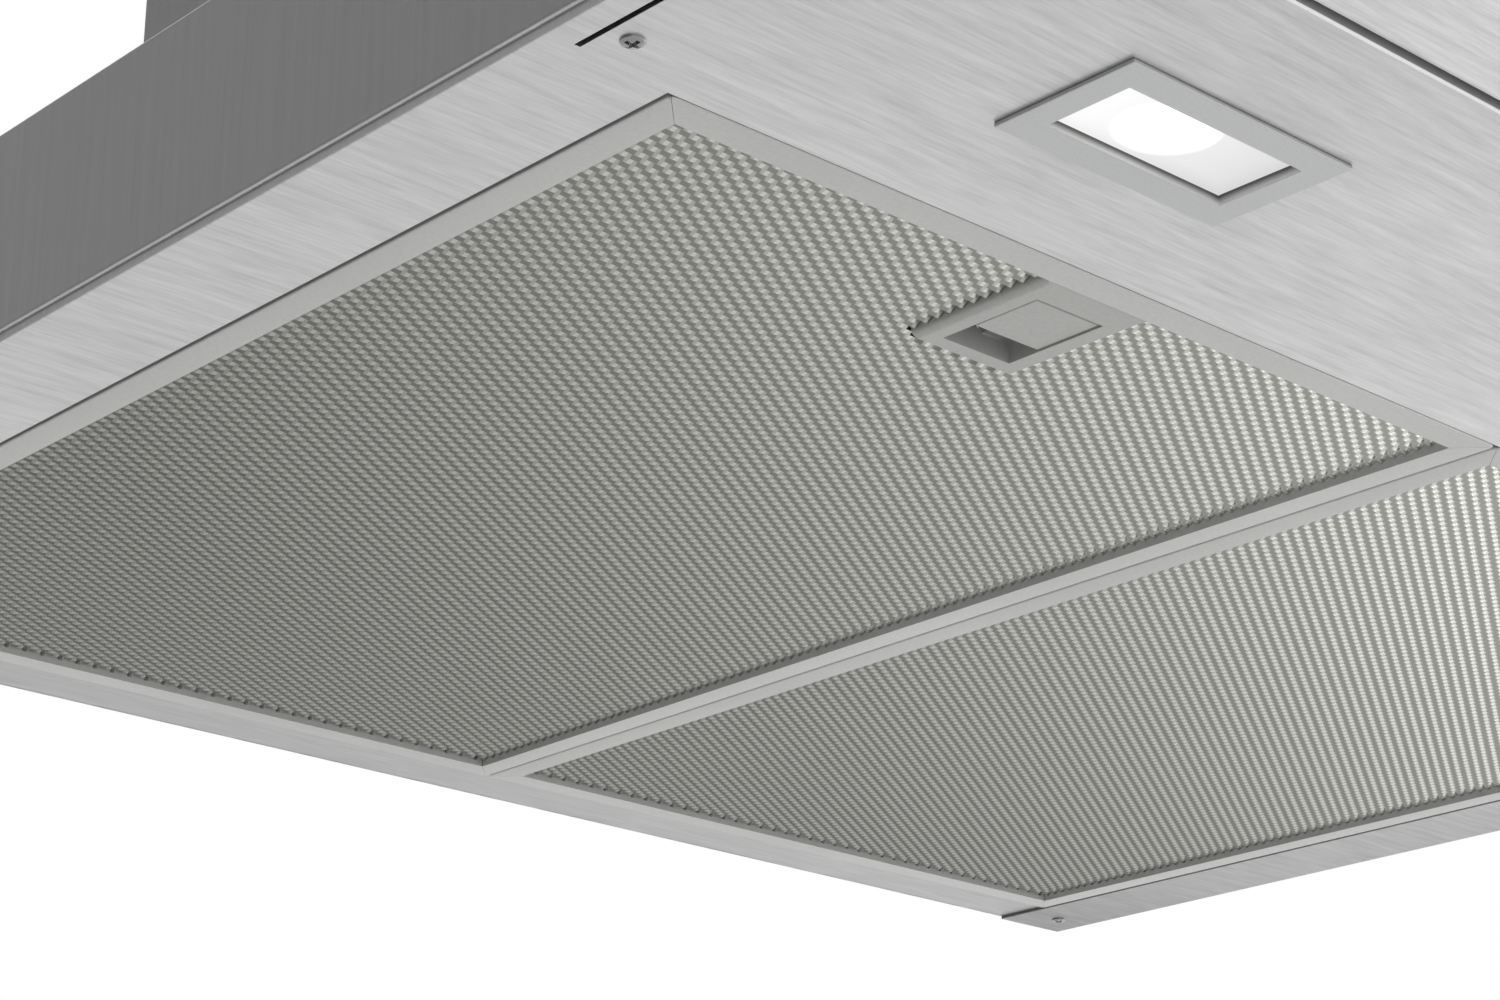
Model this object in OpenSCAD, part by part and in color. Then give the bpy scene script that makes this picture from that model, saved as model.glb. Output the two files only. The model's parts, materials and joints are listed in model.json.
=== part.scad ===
// Wall mount range hood: pyramid canopy, underside pan with lamps and two grease filters,
// centrifugal blower in its motor box, damper outlet and telescoping chimney.
// X runs along the width, the wall is the plane Y = 0 and the room is at negative Y.
// The origin is the middle of the back panel's bottom edge, one sheet above the pan's underside.
// Heights in the values and modules count from the pan's underside; at_origin() moves each piece down.

/* [Canopy] */
// Overall width of the canopy
canopy_w = 600; // [560:1:700]
// Depth from the wall to the fascia
canopy_d = 518.4; // [495:0.1:545]
// Height of the skirt's top edge above the underside
skirt_h = 53; // [48:0.5:70]
// Height at which the slopes end and the chimney begins
slope_top_z = 210; // [190:1:240]
// Thickness of the steel sheet
sheet_t = 1; // [0.8:0.1:1.4]
// Height of the side walls' bottom edge above the underside
hem_z = 1.9; // [1:0.1:4]
// Height of the fascia's bottom edge above the underside
fascia_hem_z = 0.7; // [0.4:0.1:3]
// Depth of the fascia's returns at its top and sides
fascia_return = 14; // [8:0.5:20]
// Height of the upstand that locates the chimney
upstand_h = 15; // [8:1:20]

/* [Underside] */
// Gap between the pan and the side walls' inner faces
pan_gap = 0.3; // [0.2:0.1:1]
// Gap between the pan and the fascia's inner face
fascia_gap = 1.8; // [0.5:0.1:3]
// Depth of the pan's front zone
front_zone_d = 102; // [95:1:115]
// Width of each side arm of the pan
side_arm_w = 31.7; // [28:0.1:45]
// Depth of the rail at the wall
rear_rail_d = 20.8; // [18:0.1:27]
// How far each end of the rear rail lies over the pan
rail_lap = 7.5; // [4:0.1:8]
// Height of the pan's outer flanges
pan_flange_h = 14; // [10:1:18]
// Width of the ledge above the filters' edges
seat_w = 5; // [3:0.5:6]
// Clearance between a filter's top and its seat ledge
seat_gap = 0.6; // [0.3:0.1:1]
// Width of the relief slit at each front corner
slit_w = 1.4; // [1:0.1:3]
// Distance from the pan's edge to the slit
slit_inset = 6.5; // [5:0.1:9]
// Length of the slit from the pan's front edge
slit_len = 99.4; // [60:0.1:100]
// Distance from the pan's edge to a front screw
front_screw_inset = 13.5; // [12.5:0.1:18]
// Distance from the pan's front edge to a front screw
front_screw_y = 91.1; // [85:0.1:92]
// Distance from the pan's edge to a rear screw
rear_screw_inset = 15; // [12.5:0.1:16]
// Distance from the wall to a rear screw
rear_screw_y = 14.1; // [10:0.1:16]
// Radius of the screws' shanks
screw_r = 1.2; // [1:0.1:1.4]
// Radius of the screws' heads
screw_head_r = 2.9; // [2:0.1:3.2]
// Height of the screws' heads
screw_head_h = 1.3; // [0.8:0.1:1.8]
// Length of a pan bracket
bracket_len = 14; // [12:0.5:20]
// Height of a pan bracket's upper leg
bracket_leg = 18; // [12:0.5:25]
// Thickness of a pan bracket
bracket_sheet = 1.2; // [1:0.1:1.5]

/* [Filters] */
// Height of a filter cassette
filter_h = 9; // [8.5:0.1:11]
// Gap between a filter's outer side and the pan
filter_side_gap = 1.2; // [0.5:0.1:2]
// Gap between the two filters
filter_mid_gap = 0.6; // [0.4:0.1:1.5]
// Gap in front of the filters
filter_front_gap = 0.5; // [0.4:0.1:1]
// Gap behind the filters
filter_rear_gap = 0.8; // [0.6:0.1:1.2]
// Width of the frame strip round the mesh
strip_w = 8; // [6:0.5:10]
// Wall of the frame profile
frame_t = 0.8; // [0.6:0.1:1]
// Height of the frame's inner return, which the mesh lies on
return_h = 2.9; // [2.5:0.1:3.2]
// Pitch of the mesh's ridges, the short way of its diamonds
mesh_pitch = 3.64; // [3:0.02:5]
// Height of the mesh's ridges
mesh_ridge = 0.7; // [0.4:0.1:1]
// Wire or strand thickness of a mesh layer
mesh_t = 0.5; // [0.4:0.1:0.6]
// Distance of a rear tab from the filter's middle
tab_x = 80; // [50:1:100]
// Reach of a rear tab over the rail
tab_reach = 9; // [6:0.5:10]

/* [Latch] */
// Distance of the latch from the filter's middle, negative to the left
latch_x = -2; // [-10:0.5:10]
// Width of the latch plate
plate_w = 33; // [30:0.5:40]
// Depth of the latch plate
plate_d = 41.6; // [40:0.1:48]
// Height of the latch plate's box
plate_h = 8; // [7.8:0.1:8.1]
// Width of the sliding catch
catch_w = 20.8; // [16:0.1:24]
// Depth of the sliding catch
catch_d = 19.5; // [15:0.1:21]
// Distance from the plate's front edge to the catch
catch_front = 8.6; // [6:0.1:10]
// Depth of the finger recess behind the catch
recess_d = 8.5; // [7:0.1:9]
// Travel of the catch
catch_travel = 6; // [4:0.5:6.5]
// Width of the bolt
bolt_w = 12; // [8:0.5:14]
// Clearance round the moving pieces of the latch
latch_gap = 0.25; // [0.15:0.05:0.4]

/* [Lamps] */
// Distance of a lamp from the middle of the canopy
lamp_x = 180.1; // [120:0.1:220]
// Distance of a lamp's middle from the pan's front edge
lamp_y = 50.8; // [40:0.1:58]
// Width of the bezel
bezel_w = 65.7; // [60:0.1:80]
// Depth of the bezel
bezel_d = 35.6; // [30:0.1:45]
// Width of the window
window_w = 51.3; // [40:0.1:55]
// Depth of the window
window_d = 20.8; // [16:0.1:26]
// How far the bezel stands proud of the pan
bezel_proud = 1; // [0.5:0.1:2]
// Distance from the pan's face up to the glass
lens_z = 1.4; // [1:0.1:4]
// Thickness of the glass
lens_t = 2; // [1.5:0.1:3]
// Height of the lamp housing's top
lamp_top_z = 34; // [28:1:38]

/* [Controls] */
// Height of the buttons' middle
button_z = 28; // [26:0.5:32]
// Distance between buttons
button_pitch = 21; // [18:0.5:22]
// Radius of a button
button_r = 7; // [5:0.25:8]
// Travel of a button
button_travel = 2; // [1:0.1:2.2]
// How far a button stands proud of its bezel
button_proud = 1.5; // [0.5:0.1:2.5]
// Gap round a button
button_gap = 0.25; // [0.15:0.05:0.4]
// Height of the button bezel
button_bezel_h = 24; // [20:0.5:30]
// Margin between the outer buttons and the ends of the bezel's boss
button_margin = 4; // [3:0.5:6]
// Margin of the bezel round its boss
bezel_margin = 4; // [2:0.5:6]
// Depth of the bezel's boss behind the fascia
boss_depth = 6; // [5:0.5:8]
// Thickness of the bezel in front of the fascia
bezel_t = 0.8; // [0.6:0.1:1.5]

/* [Blower] */
// Gap between the motor box and each side of the upper chimney
box_side_gap = 7.2; // [5.5:0.1:9]
// Gap between the motor box and the upper chimney's front
box_front_gap = 8.2; // [5.5:0.1:10]
// Gap between the motor box and the wall
box_wall_gap = 6; // [5.5:0.1:7]
// Height of the motor box
box_h = 258; // [252:1:280]
// Radius of the impeller
impeller_r = 70; // [60:1:74]
// Width of the impeller
impeller_w = 98; // [80:1:100]
// Number of blades
blade_count = 36; // [24:1:40]
// Radial depth of a blade
blade_d = 13; // [10:0.5:16]
// Thickness of a blade
blade_t = 1; // [0.8:0.1:1.2]
// Width of the blower housing
scroll_w = 112; // [106:1:120]
// Radius of the scroll where it starts
scroll_r0 = 78; // [76:0.5:80]
// Radius of the scroll at its mouth
scroll_r1 = 110; // [104:0.5:112]
// Wall of the blower housing
scroll_t = 1.5; // [1.2:0.1:2]
// Distance from the wall to the blower's axis
axis_y = 150; // [148:0.5:152]
// Height of the blower's axis above the motor box's base
axis_h = 130; // [124:1:134]
// Radius of the inlets
inlet_r = 62; // [56:1:64]
// Radius of the motor shaft
shaft_r = 4; // [3:0.5:5]
// Running clearance of the shaft in its bushes
run_gap = 0.05; // [0.02:0.01:0.08]
// Radius of the motor
motor_r = 38; // [30:1:40]

/* [Outlet] */
// Outer radius of the duct collar
collar_r = 74.5; // [72:0.5:74.5]
// Wall of the collar
collar_t = 2; // [1.5:0.1:2.5]
// Height of the collar
collar_h = 50; // [40:1:60]
// Thickness of a damper flap
flap_t = 1.2; // [1:0.1:1.6]

/* [Electrics] */
// Width of the capacitor, out from the motor box's wall
capacitor_w = 18; // [14:1:24]
// Depth of the capacitor
capacitor_d = 40; // [30:1:44]
// Height of the capacitor
capacitor_h = 30; // [24:1:36]
// Distance of the capacitor from the motor box's rear
capacitor_rear = 38; // [30:1:44]
// Height of the capacitor above the motor box's base
capacitor_rise = 26; // [20:1:40]
// Width of the terminal box, out from the motor box's wall
terminal_w = 38; // [36:1:40]
// Depth of the terminal box
terminal_d = 70; // [60:1:76]
// Height of the terminal box
terminal_h = 50; // [40:1:60]
// Distance of the cable gland from the motor box's left side
gland_inset = 27; // [20:0.5:32]
// Distance of the cable gland from the motor box's front
gland_front = 40; // [38:1:46]
// Radius of the cable gland's bore
gland_bore_r = 4.5; // [4:0.25:5]
// Outer radius of the cable gland's thread
gland_r = 8; // [7:0.1:9]
// Width across the corners of the cable gland's nuts
gland_nut_w = 22; // [20:0.5:24]

/* [Chimney] */
// Width of the lower chimney
chimney_w = 266; // [260:1:276]
// Depth of the lower chimney
chimney_d = 255; // [252:1:262]
// Height of the lower chimney
lower_h = 400; // [380:5:500]
// Height of the upper chimney
upper_h = 400; // [380:5:400]
// How much of the upper chimney shows when it is pushed in
upper_shown = 25; // [22:1:60]
// Gap between the two chimney pieces
upper_gap = 0.8; // [0.5:0.1:1.2]
// Distance from the upper chimney's front to its vent slots
vent_front = 60; // [40:1:80]
// Length of a vent slot
vent_len = 130; // [90:1:150]
// Distance from the wall to the lower chimney's screws
cover_screw_y = 24; // [20:1:40]
// Width of the returns at the chimney's open back
chimney_return = 12; // [8:0.5:16]

/* [Wall fixing] */
// Distance of a wall hole from the middle
hang_x = 125; // [100:1:135]
// Height of the upper wall holes
hang_z = 160; // [140:1:165]
// Height of the lower wall holes
hang_low_z = 30; // [26:1:40]
// Radius of the wall holes
hang_r = 3.5; // [3:0.25:4.5]
// Width of the plates behind the upper wall holes
hang_plate_w = 40; // [24:1:50]
// Height of the plates behind the upper wall holes
hang_plate_h = 32; // [20:1:40]
// Thickness of the plates behind the upper wall holes
hang_plate_t = 2; // [1.5:0.1:3]
// Distance of a chimney bracket hole from the middle
bracket_x = 60; // [40:1:90]

/* [Hidden] */

steel = [0.70, 0.70, 0.69];
zinc = [0.62, 0.63, 0.64];
frame_silver = [0.72, 0.73, 0.71];
mesh_silver = [0.58, 0.59, 0.57];
grey_plastic = [0.60, 0.61, 0.60];
dark_plastic = [0.16, 0.16, 0.17];
copper = [0.72, 0.48, 0.30];
glass = [0.95, 0.96, 0.98];

// Length by which a cut runs past the piece it cuts
over = 1;
left = -1;
right = 1;

// Canopy profile
half_w = canopy_w / 2;
top_half_w = chimney_w / 2;
slope_rise = slope_top_z - skirt_h;
side_run = half_w - top_half_w;
front_run = canopy_d - chimney_d;
side_inset = sheet_t / sin(atan2(slope_rise, side_run));
front_inset = sheet_t / sin(atan2(slope_rise, front_run));

// Pan outline and the filter opening in it
pan_half = half_w - sheet_t - pan_gap;
pan_front = -(canopy_d - sheet_t - fascia_gap);
open_half = pan_half - side_arm_w;
open_front = pan_front + front_zone_d;
open_rear = -(rear_rail_d + sheet_t);
ledge_z = filter_h + seat_gap;
lip_half = open_half + sheet_t;
lip_front = open_front - sheet_t;
rail_top = 2 * sheet_t;

// Filters
filter_w = (2 * open_half - 2 * filter_side_gap - filter_mid_gap) / 2;
filter_x = (filter_w + filter_mid_gap) / 2;
filter_front = open_front + filter_front_gap;
filter_rear = open_rear - filter_rear_gap;
mesh_margin = frame_t + 1.2;
mesh_z = return_h;
mesh_top = filter_h - frame_t - 0.1;
tab_w = 14;
tab_t = 0.8;
tab_z = rail_top;
tab_leg = 6;
slot_gap = 0.2;

// Latch
plate_front = filter_front + strip_w;
plate_rear = plate_front + plate_d;
catch_y0 = plate_front + catch_front;
catch_y1 = catch_y0 + catch_d;
recess_y1 = catch_y1 + recess_d;
catch_z0 = 0.4;
catch_z1 = 4.9;
bolt_z0 = return_h + 0.2;
bolt_z1 = bolt_z0 + 2;
bolt_setback = 0.3;
groove_z1 = 7.4;
lug_w = 3.8;
lug_d = 1.5;
spring_z = 6.3;
spring_r = 0.8;
spring_wire_r = 0.2;
spring_turns = 14;
spring_sides = 6;
spring_ring_count = 8 * spring_turns + 1;

// Lamps
lamp_mid_y = pan_front + lamp_y;
sleeve_t = 1.2;
lens_lip = 0.8;
lens_gap = 0.1;
pocket_w = window_w + 2 * lens_lip + 2 * lens_gap;
pocket_d = window_d + 2 * lens_lip + 2 * lens_gap;
sleeve_w = pocket_w + 2 * sleeve_t;
sleeve_d = pocket_d + 2 * sleeve_t;
sleeve_h = 8;
cutout_gap = 0.5;
lamp_box_w = sleeve_w + 6;
lamp_box_d = sleeve_d + 6;
bulb_r = 5;
bulb_z = 17;

// Controls
fascia_y = -canopy_d;
bezel_face_y = fascia_y - bezel_t;
button_half = 2 * button_pitch + button_r + button_margin;
bezel_half = button_half + bezel_margin;
boss_h = button_bezel_h - 6;
boss_back = fascia_y + boss_depth;
stem_r = 2;
button_back = boss_back + 2.6;
switch_front = button_back + button_travel + 0.3;
switch_d = 16;
stem_len = 4;

// Motor box and blower
box_half = chimney_w / 2 - 2 * sheet_t - upper_gap - box_side_gap;
box_y0 = -(chimney_d - 2 * sheet_t - upper_gap - box_front_gap);
box_y1 = -box_wall_gap;
box_top = slope_top_z + box_h;
box_flange = 4.5;
axis_z = slope_top_z + axis_h;
cutoff_angle = 75;
mouth_u0 = scroll_r0 * cos(cutoff_angle);
mouth_v = box_top - sheet_t - axis_z;
mouth_flange = 6;
scroll_half = scroll_w / 2;
hub_r = 9;
fit_gap = 0.02;
cap_len = 10;
stator_x0 = 22;
stator_x1 = 50;
spider_t = 2.5;
bush_r = 8;
rotor_r = 22;
blade_steps = [0, 0.35, 0.7, 1];
gland_x = -box_half + gland_inset;
gland_y = box_y0 + gland_front;
capacitor_y = box_y1 - capacitor_rear - capacitor_d / 2;
capacitor_z = slope_top_z + capacitor_rise;

// Outlet
collar_y = -axis_y + (mouth_u0 + scroll_r1) / 2;
adaptor_t = 2;
adaptor_r = 80;
collar_inner = collar_r - collar_t;
stop_w = 2.5;
stop_z = box_top + 7.5;
pin_r = 1.5;
pin_gap = 0.08;
flap_gap = 0.3;
flap_z = stop_z + flap_gap;
flap_axis_z = flap_z + 1.5;
flap_axis_dy = 4;
barrel_r = 1.9;

// Chimney
upper_half = chimney_w / 2 - sheet_t - upper_gap;
upper_front = -(chimney_d - sheet_t - upper_gap);
upper_rear = -1.2;
upper_top = slope_top_z + lower_h + upper_shown;
bracket_t = 1;
bracket_h = 18;
bracket_z = upper_top - 22;
ear_d = 20;
upstand_gap = 0.3;
upstand_half = chimney_w / 2 - sheet_t - upstand_gap;
upstand_front = -(chimney_d - sheet_t - upstand_gap);
cover_screw_r = 1.7;
cover_screw_head_r = 3.2;
cover_screw_head_h = 1.6;
lower_screw_y = -cover_screw_y;
lower_screw_z = slope_top_z + upstand_h / 2;
ear_screw_y = upper_rear - 12;
ear_screw_z = bracket_z + bracket_h / 2;

// Moves a piece down so that the back panel's bottom edge is at Z = 0
module at_origin() {
    translate([0, 0, -sheet_t]) children();
}

// Block between two corners
module block(x0, x1, y0, y1, z0, z1) {
    translate([x0, y0, z0]) cube([x1 - x0, y1 - y0, z1 - z0]);
}

// Upright rectangular ring, open at top and bottom
module ring_wall(x0, x1, y0, y1, z0, z1, wall) {
    difference() {
        block(x0, x1, y0, y1, z0, z1);
        block(x0 + wall, x1 - wall, y0 + wall, y1 - wall, z0 - over, z1 + over);
    }
}

// The same solid on both sides of the middle plane
module both_sides() {
    children();
    mirror([1, 0, 0]) children();
}

// Cylinder along X
module rod_x(x0, x1, y, z, r) {
    translate([x0, y, z]) rotate([0, 90, 0]) cylinder(r = r, h = x1 - x0, $fn = 64);
}

// Cylinder along Y
module rod_y(x, y0, y1, z, r) {
    translate([x, y0, z]) rotate([-90, 0, 0]) cylinder(r = r, h = y1 - y0, $fn = 48);
}

// Cylinder along Z
module rod_z(x, y, z0, z1, r) {
    translate([x, y, z0]) cylinder(r = r, h = z1 - z0, $fn = 96);
}

// Profile drawn in the Y and Z directions, drawn out along X
module along_x(x0, x1) {
    translate([x0, 0, 0]) rotate([90, 0, 90]) linear_extrude(x1 - x0) children();
}

// Four-sided frustum whose back lies in the plane y_back
module frustum(z0, half0, front0, z1, half1, front1, y_back) {
    intersection() {
        translate([0, y_back, 0]) rotate([90, 0, 0]) linear_extrude(y_back - front0)
            polygon([[-half0, z0], [half0, z0], [half1, z1], [-half1, z1]]);
        along_x(-half0, half0) polygon([[front0, z0], [y_back, z0], [y_back, z1], [front1, z1]]);
    }
}

// Half width and front of the slopes' outer face at a height
function slope_half(z) = half_w - side_run * (z - skirt_h) / slope_rise;
function slope_front(z) = -canopy_d + front_run * (z - skirt_h) / slope_rise;

// Skirt side walls, slopes, top flange and the upstand inside the chimney
module canopy_shell() {
    inner_top = slope_top_z - sheet_t;
    color(steel) at_origin() {
        both_sides() block(half_w - sheet_t, half_w, -canopy_d + sheet_t, 0, hem_z, skirt_h);
        difference() {
            frustum(skirt_h, half_w, -canopy_d, slope_top_z, top_half_w, -chimney_d, 0);
            frustum(skirt_h - over, slope_half(skirt_h - over) - side_inset,
                slope_front(skirt_h - over) + front_inset,
                inner_top, slope_half(inner_top) - side_inset, slope_front(inner_top) + front_inset, over);
            block(-box_half + sheet_t, box_half - sheet_t, box_y0 + sheet_t, box_y1 - sheet_t,
                inner_top - over, slope_top_z + over);
        }
        difference() {
            both_sides() block(upstand_half - sheet_t, upstand_half, upstand_front, box_y1 + box_flange,
                slope_top_z, slope_top_z + upstand_h);
            rod_x(-half_w, half_w, lower_screw_y, lower_screw_z, cover_screw_r + fit_gap);
        }
        block(-upstand_half, upstand_half, upstand_front, upstand_front + sheet_t,
            slope_top_z, slope_top_z + upstand_h);
    }
}

// Wall holes, right through whatever stands at the wall
module wall_holes(depth) {
    both_sides() {
        rod_y(hang_x, -depth, over, hang_z, hang_r);
        rod_y(hang_x, -depth, over, hang_low_z, hang_r);
    }
}

// Flat back with the outline of the pyramid
module back_panel() {
    inner_half = half_w - sheet_t;
    inner_top = slope_top_z - sheet_t;
    color(zinc) at_origin() difference() {
        rotate([90, 0, 0]) linear_extrude(sheet_t)
            polygon([[-inner_half, sheet_t], [inner_half, sheet_t], [inner_half, skirt_h],
                [slope_half(skirt_h) - side_inset, skirt_h],
                [slope_half(inner_top) - side_inset, inner_top],
                [-slope_half(inner_top) + side_inset, inner_top],
                [-slope_half(skirt_h) + side_inset, skirt_h], [-inner_half, skirt_h]]);
        wall_holes(2 * sheet_t);
    }
}

// Plates that strengthen the upper wall holes
module hanging_plates() {
    color(zinc) at_origin() difference() {
        both_sides() block(hang_x - hang_plate_w / 2, hang_x + hang_plate_w / 2,
            -sheet_t - hang_plate_t, -sheet_t, hang_z - hang_plate_h / 2, hang_z + hang_plate_h / 2);
        wall_holes(sheet_t + hang_plate_t + over);
    }
}

// Front panel with its top and side returns and the cut-out for the button bezel
module front_fascia() {
    return_z = pan_flange_h + 4;
    inner_y = fascia_y + sheet_t;
    color(steel) at_origin() difference() {
        union() {
            block(-half_w, half_w, fascia_y, inner_y, fascia_hem_z, skirt_h);
            block(-half_w + 2 * sheet_t, half_w - 2 * sheet_t, inner_y, inner_y + fascia_return,
                skirt_h - sheet_t, skirt_h);
            both_sides() block(half_w - 2 * sheet_t, half_w - sheet_t, inner_y, inner_y + fascia_return,
                return_z, skirt_h);
        }
        block(-button_half - 0.3, button_half + 0.3, fascia_y - over, inner_y + over,
            button_z - boss_h / 2 - 0.3, button_z + boss_h / 2 + 0.3);
    }
}

// Hole positions of the pan's screws
module at_front_screws() {
    both_sides() translate([pan_half - front_screw_inset, pan_front + front_screw_y, 0]) children();
}

module at_rear_screws() {
    both_sides() translate([pan_half - rear_screw_inset, -rear_screw_y, 0]) children();
}

// U-shaped underside sheet with upturned flanges and lips, lamp cut-outs and screw holes
module underside_pan() {
    color(steel) at_origin() difference() {
        union() {
            difference() {
                block(-pan_half, pan_half, pan_front, 0, 0, sheet_t);
                block(-open_half, open_half, open_front, over, -over, 2 * sheet_t);
            }
            both_sides() block(pan_half - sheet_t, pan_half, pan_front, -sheet_t, 0, pan_flange_h);
            block(-pan_half, pan_half, pan_front, pan_front + sheet_t, 0, pan_flange_h);
            both_sides() block(open_half, lip_half, lip_front, open_rear, 0, ledge_z);
            block(-lip_half, lip_half, lip_front, open_front, 0, ledge_z);
        }
        both_sides() block(pan_half - slit_inset - slit_w, pan_half - slit_inset,
            pan_front - over, pan_front + slit_len, -over, pan_flange_h + over);
        both_sides() translate([lamp_x, lamp_mid_y, 0])
            block(-sleeve_w / 2 - cutout_gap, sleeve_w / 2 + cutout_gap,
                -sleeve_d / 2 - cutout_gap, sleeve_d / 2 + cutout_gap, -over, 2 * sheet_t);
        for (side = [left, right]) at_latch(side)
            block(-bolt_w / 2 - over, bolt_w / 2 + over, lip_front - over, open_front + over,
                bolt_z0 - over, bolt_z1 + over);
        at_front_screws() rod_z(0, 0, -over, 2 * sheet_t, screw_r + 0.2);
        at_rear_screws() rod_z(0, 0, -over, 2 * sheet_t, screw_r + 0.2);
    }
}

// Strips on the pan's lips that the filters' edges close against
module filter_seats() {
    side_front = open_front + seat_w + fit_gap;
    color(zinc) at_origin() {
        block(-lip_half, lip_half, lip_front, open_front + seat_w, ledge_z, ledge_z + sheet_t);
        both_sides() block(open_half - seat_w, lip_half, side_front, open_rear, ledge_z, ledge_z + sheet_t);
    }
}

// Z-shaped bracket between the skirt wall and the pan, drawn across its hole
module pan_bracket(inset, y) {
    t = bracket_sheet;
    leg_x = half_w - sheet_t;
    jog_z = pan_flange_h + 3;
    leg_top = jog_z + bracket_leg;
    riser_x = pan_half - slit_inset - slit_w - 0.5;
    hole_x = pan_half - inset;
    foot_x = hole_x - bracket_len / 2;
    translate([0, y, 0]) difference() {
        translate([0, bracket_len / 2, 0]) rotate([90, 0, 0]) linear_extrude(bracket_len)
            polygon([[foot_x, sheet_t], [riser_x, sheet_t], [riser_x, jog_z], [leg_x, jog_z],
                [leg_x, leg_top], [leg_x - t, leg_top], [leg_x - t, jog_z + t],
                [riser_x - t, jog_z + t], [riser_x - t, sheet_t + t], [foot_x, sheet_t + t]]);
        rod_z(hole_x, 0, 0, 2 * sheet_t + t, screw_r + fit_gap);
    }
}

module pan_brackets() {
    color(zinc) at_origin() both_sides() {
        pan_bracket(front_screw_inset, pan_front + front_screw_y);
        pan_bracket(rear_screw_inset, -rear_screw_y);
    }
}

// Screw with a low domed head under the pan
module pan_screw() {
    r = screw_head_r;
    h = screw_head_h;
    rotate_extrude($fn = 32)
        polygon([[0, -h], [0.55 * r, -0.93 * h], [0.85 * r, -0.68 * h], [r, -0.3 * h], [r, 0],
            [screw_r, 0], [screw_r, 7], [0, 7]]);
}

module pan_screws() {
    color(zinc) at_origin() {
        at_front_screws() pan_screw();
        at_rear_screws() pan_screw();
    }
}

// Rail at the wall that the filters' rear tabs lie on, with its ends on the pan
module rear_rail() {
    rail_half = open_half + rail_lap;
    rail_rear = -sheet_t;
    rail_flange_h = ledge_z - over;
    color(steel) at_origin() {
        block(-rail_half, rail_half, open_rear, rail_rear, sheet_t, rail_top);
        block(-rail_half, rail_half, rail_rear - sheet_t, rail_rear, sheet_t, rail_flange_h);
    }
}

// T-shaped rail over the joint between the filters, with a foot on the rear rail
module filter_divider() {
    bar_w = 16;
    web_h = 10;
    bar_z = ledge_z + sheet_t;
    foot_y = -3 * sheet_t;
    color(zinc) at_origin() {
        block(-bar_w / 2, bar_w / 2, open_front - sheet_t, foot_y, bar_z, bar_z + sheet_t);
        block(-sheet_t / 2, sheet_t / 2, open_front, foot_y, bar_z + sheet_t, bar_z + sheet_t + web_h);
        block(-bar_w / 2, bar_w / 2, foot_y - sheet_t, foot_y, rail_top, bar_z + sheet_t);
    }
}

// Places the five buttons
module at_button(i) {
    translate([(i - 2) * button_pitch, 0, button_z]) children();
}

// Bezel in the fascia with a bore for each button and two posts back to the switch block
module button_bezel() {
    color(grey_plastic) at_origin() difference() {
        union() {
            block(-bezel_half, bezel_half, bezel_face_y, fascia_y,
                button_z - button_bezel_h / 2, button_z + button_bezel_h / 2);
            block(-button_half, button_half, fascia_y, boss_back,
                button_z - boss_h / 2, button_z + boss_h / 2);
            both_sides() block(button_half - 3, button_half, boss_back, switch_front,
                button_z - boss_h / 2, button_z + boss_h / 2);
        }
        for (i = [0:4])
            at_button(i) rod_y(0, bezel_face_y - over, boss_back + over, 0, button_r + button_gap);
    }
}

// Body of the switches with a blind bore for each stem
module switch_block() {
    bore_end = switch_front + stem_len + button_travel + 1;
    color(dark_plastic) at_origin() difference() {
        block(-button_half, button_half, switch_front, switch_front + switch_d,
            button_z - boss_h / 2, button_z + boss_h / 2);
        for (i = [0:4]) at_button(i) rod_y(0, switch_front - over, bore_end, 0, stem_r + button_gap);
    }
}

// Round push button with its stem
module button(i) {
    face_y = bezel_face_y - button_proud;
    color(steel) at_origin() at_button(i) {
        rod_y(0, face_y, button_back, 0, button_r);
        rod_y(0, button_back, switch_front + stem_len, 0, stem_r);
    }
}

module button_off() { button(0); }
module button_low() { button(1); }
module button_medium() { button(2); }
module button_high() { button(3); }
module button_light() { button(4); }

// Rectangle about a middle, for the lamps
module slab(w, d, z0, z1) {
    block(-w / 2, w / 2, -d / 2, d / 2, z0, z1);
}

module at_lamp(side) {
    translate([side * lamp_x, lamp_mid_y, 0]) children();
}

// Flange under the pan, lens ledge and the sleeve through the cut-out
module lamp_bezel(side) {
    color(grey_plastic) at_origin() at_lamp(side) difference() {
        union() {
            slab(bezel_w, bezel_d, -bezel_proud, 0);
            slab(sleeve_w, sleeve_d, 0, sleeve_h);
        }
        slab(window_w, window_d, -bezel_proud - over, sleeve_h + over);
        slab(pocket_w, pocket_d, lens_z, sleeve_h + over);
    }
}

module lamp_lens(side) {
    color(glass) at_origin() at_lamp(side)
        slab(pocket_w - 2 * lens_gap, pocket_d - 2 * lens_gap, lens_z, lens_z + lens_t);
}

// Capsule with a round end, held in the socket block
module lamp_bulb(side) {
    color(glass) at_origin() at_lamp(side) {
        rod_x(-12, 12, 0, bulb_z, bulb_r);
        translate([12, 0, bulb_z]) sphere(r = bulb_r, $fn = 48);
    }
}

// Inverted box on the pan with the bulb's socket inside
module lamp_housing(side) {
    wall = 1;
    socket_x = -lamp_box_w / 2 + wall;
    color(zinc) at_origin() at_lamp(side) {
        difference() {
            slab(lamp_box_w, lamp_box_d, sheet_t, lamp_top_z);
            slab(lamp_box_w - 2 * wall, lamp_box_d - 2 * wall, 0, lamp_top_z - wall);
        }
        block(socket_x, -12, -8, 8, bulb_z - 7, lamp_top_z - wall);
    }
}

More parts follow.
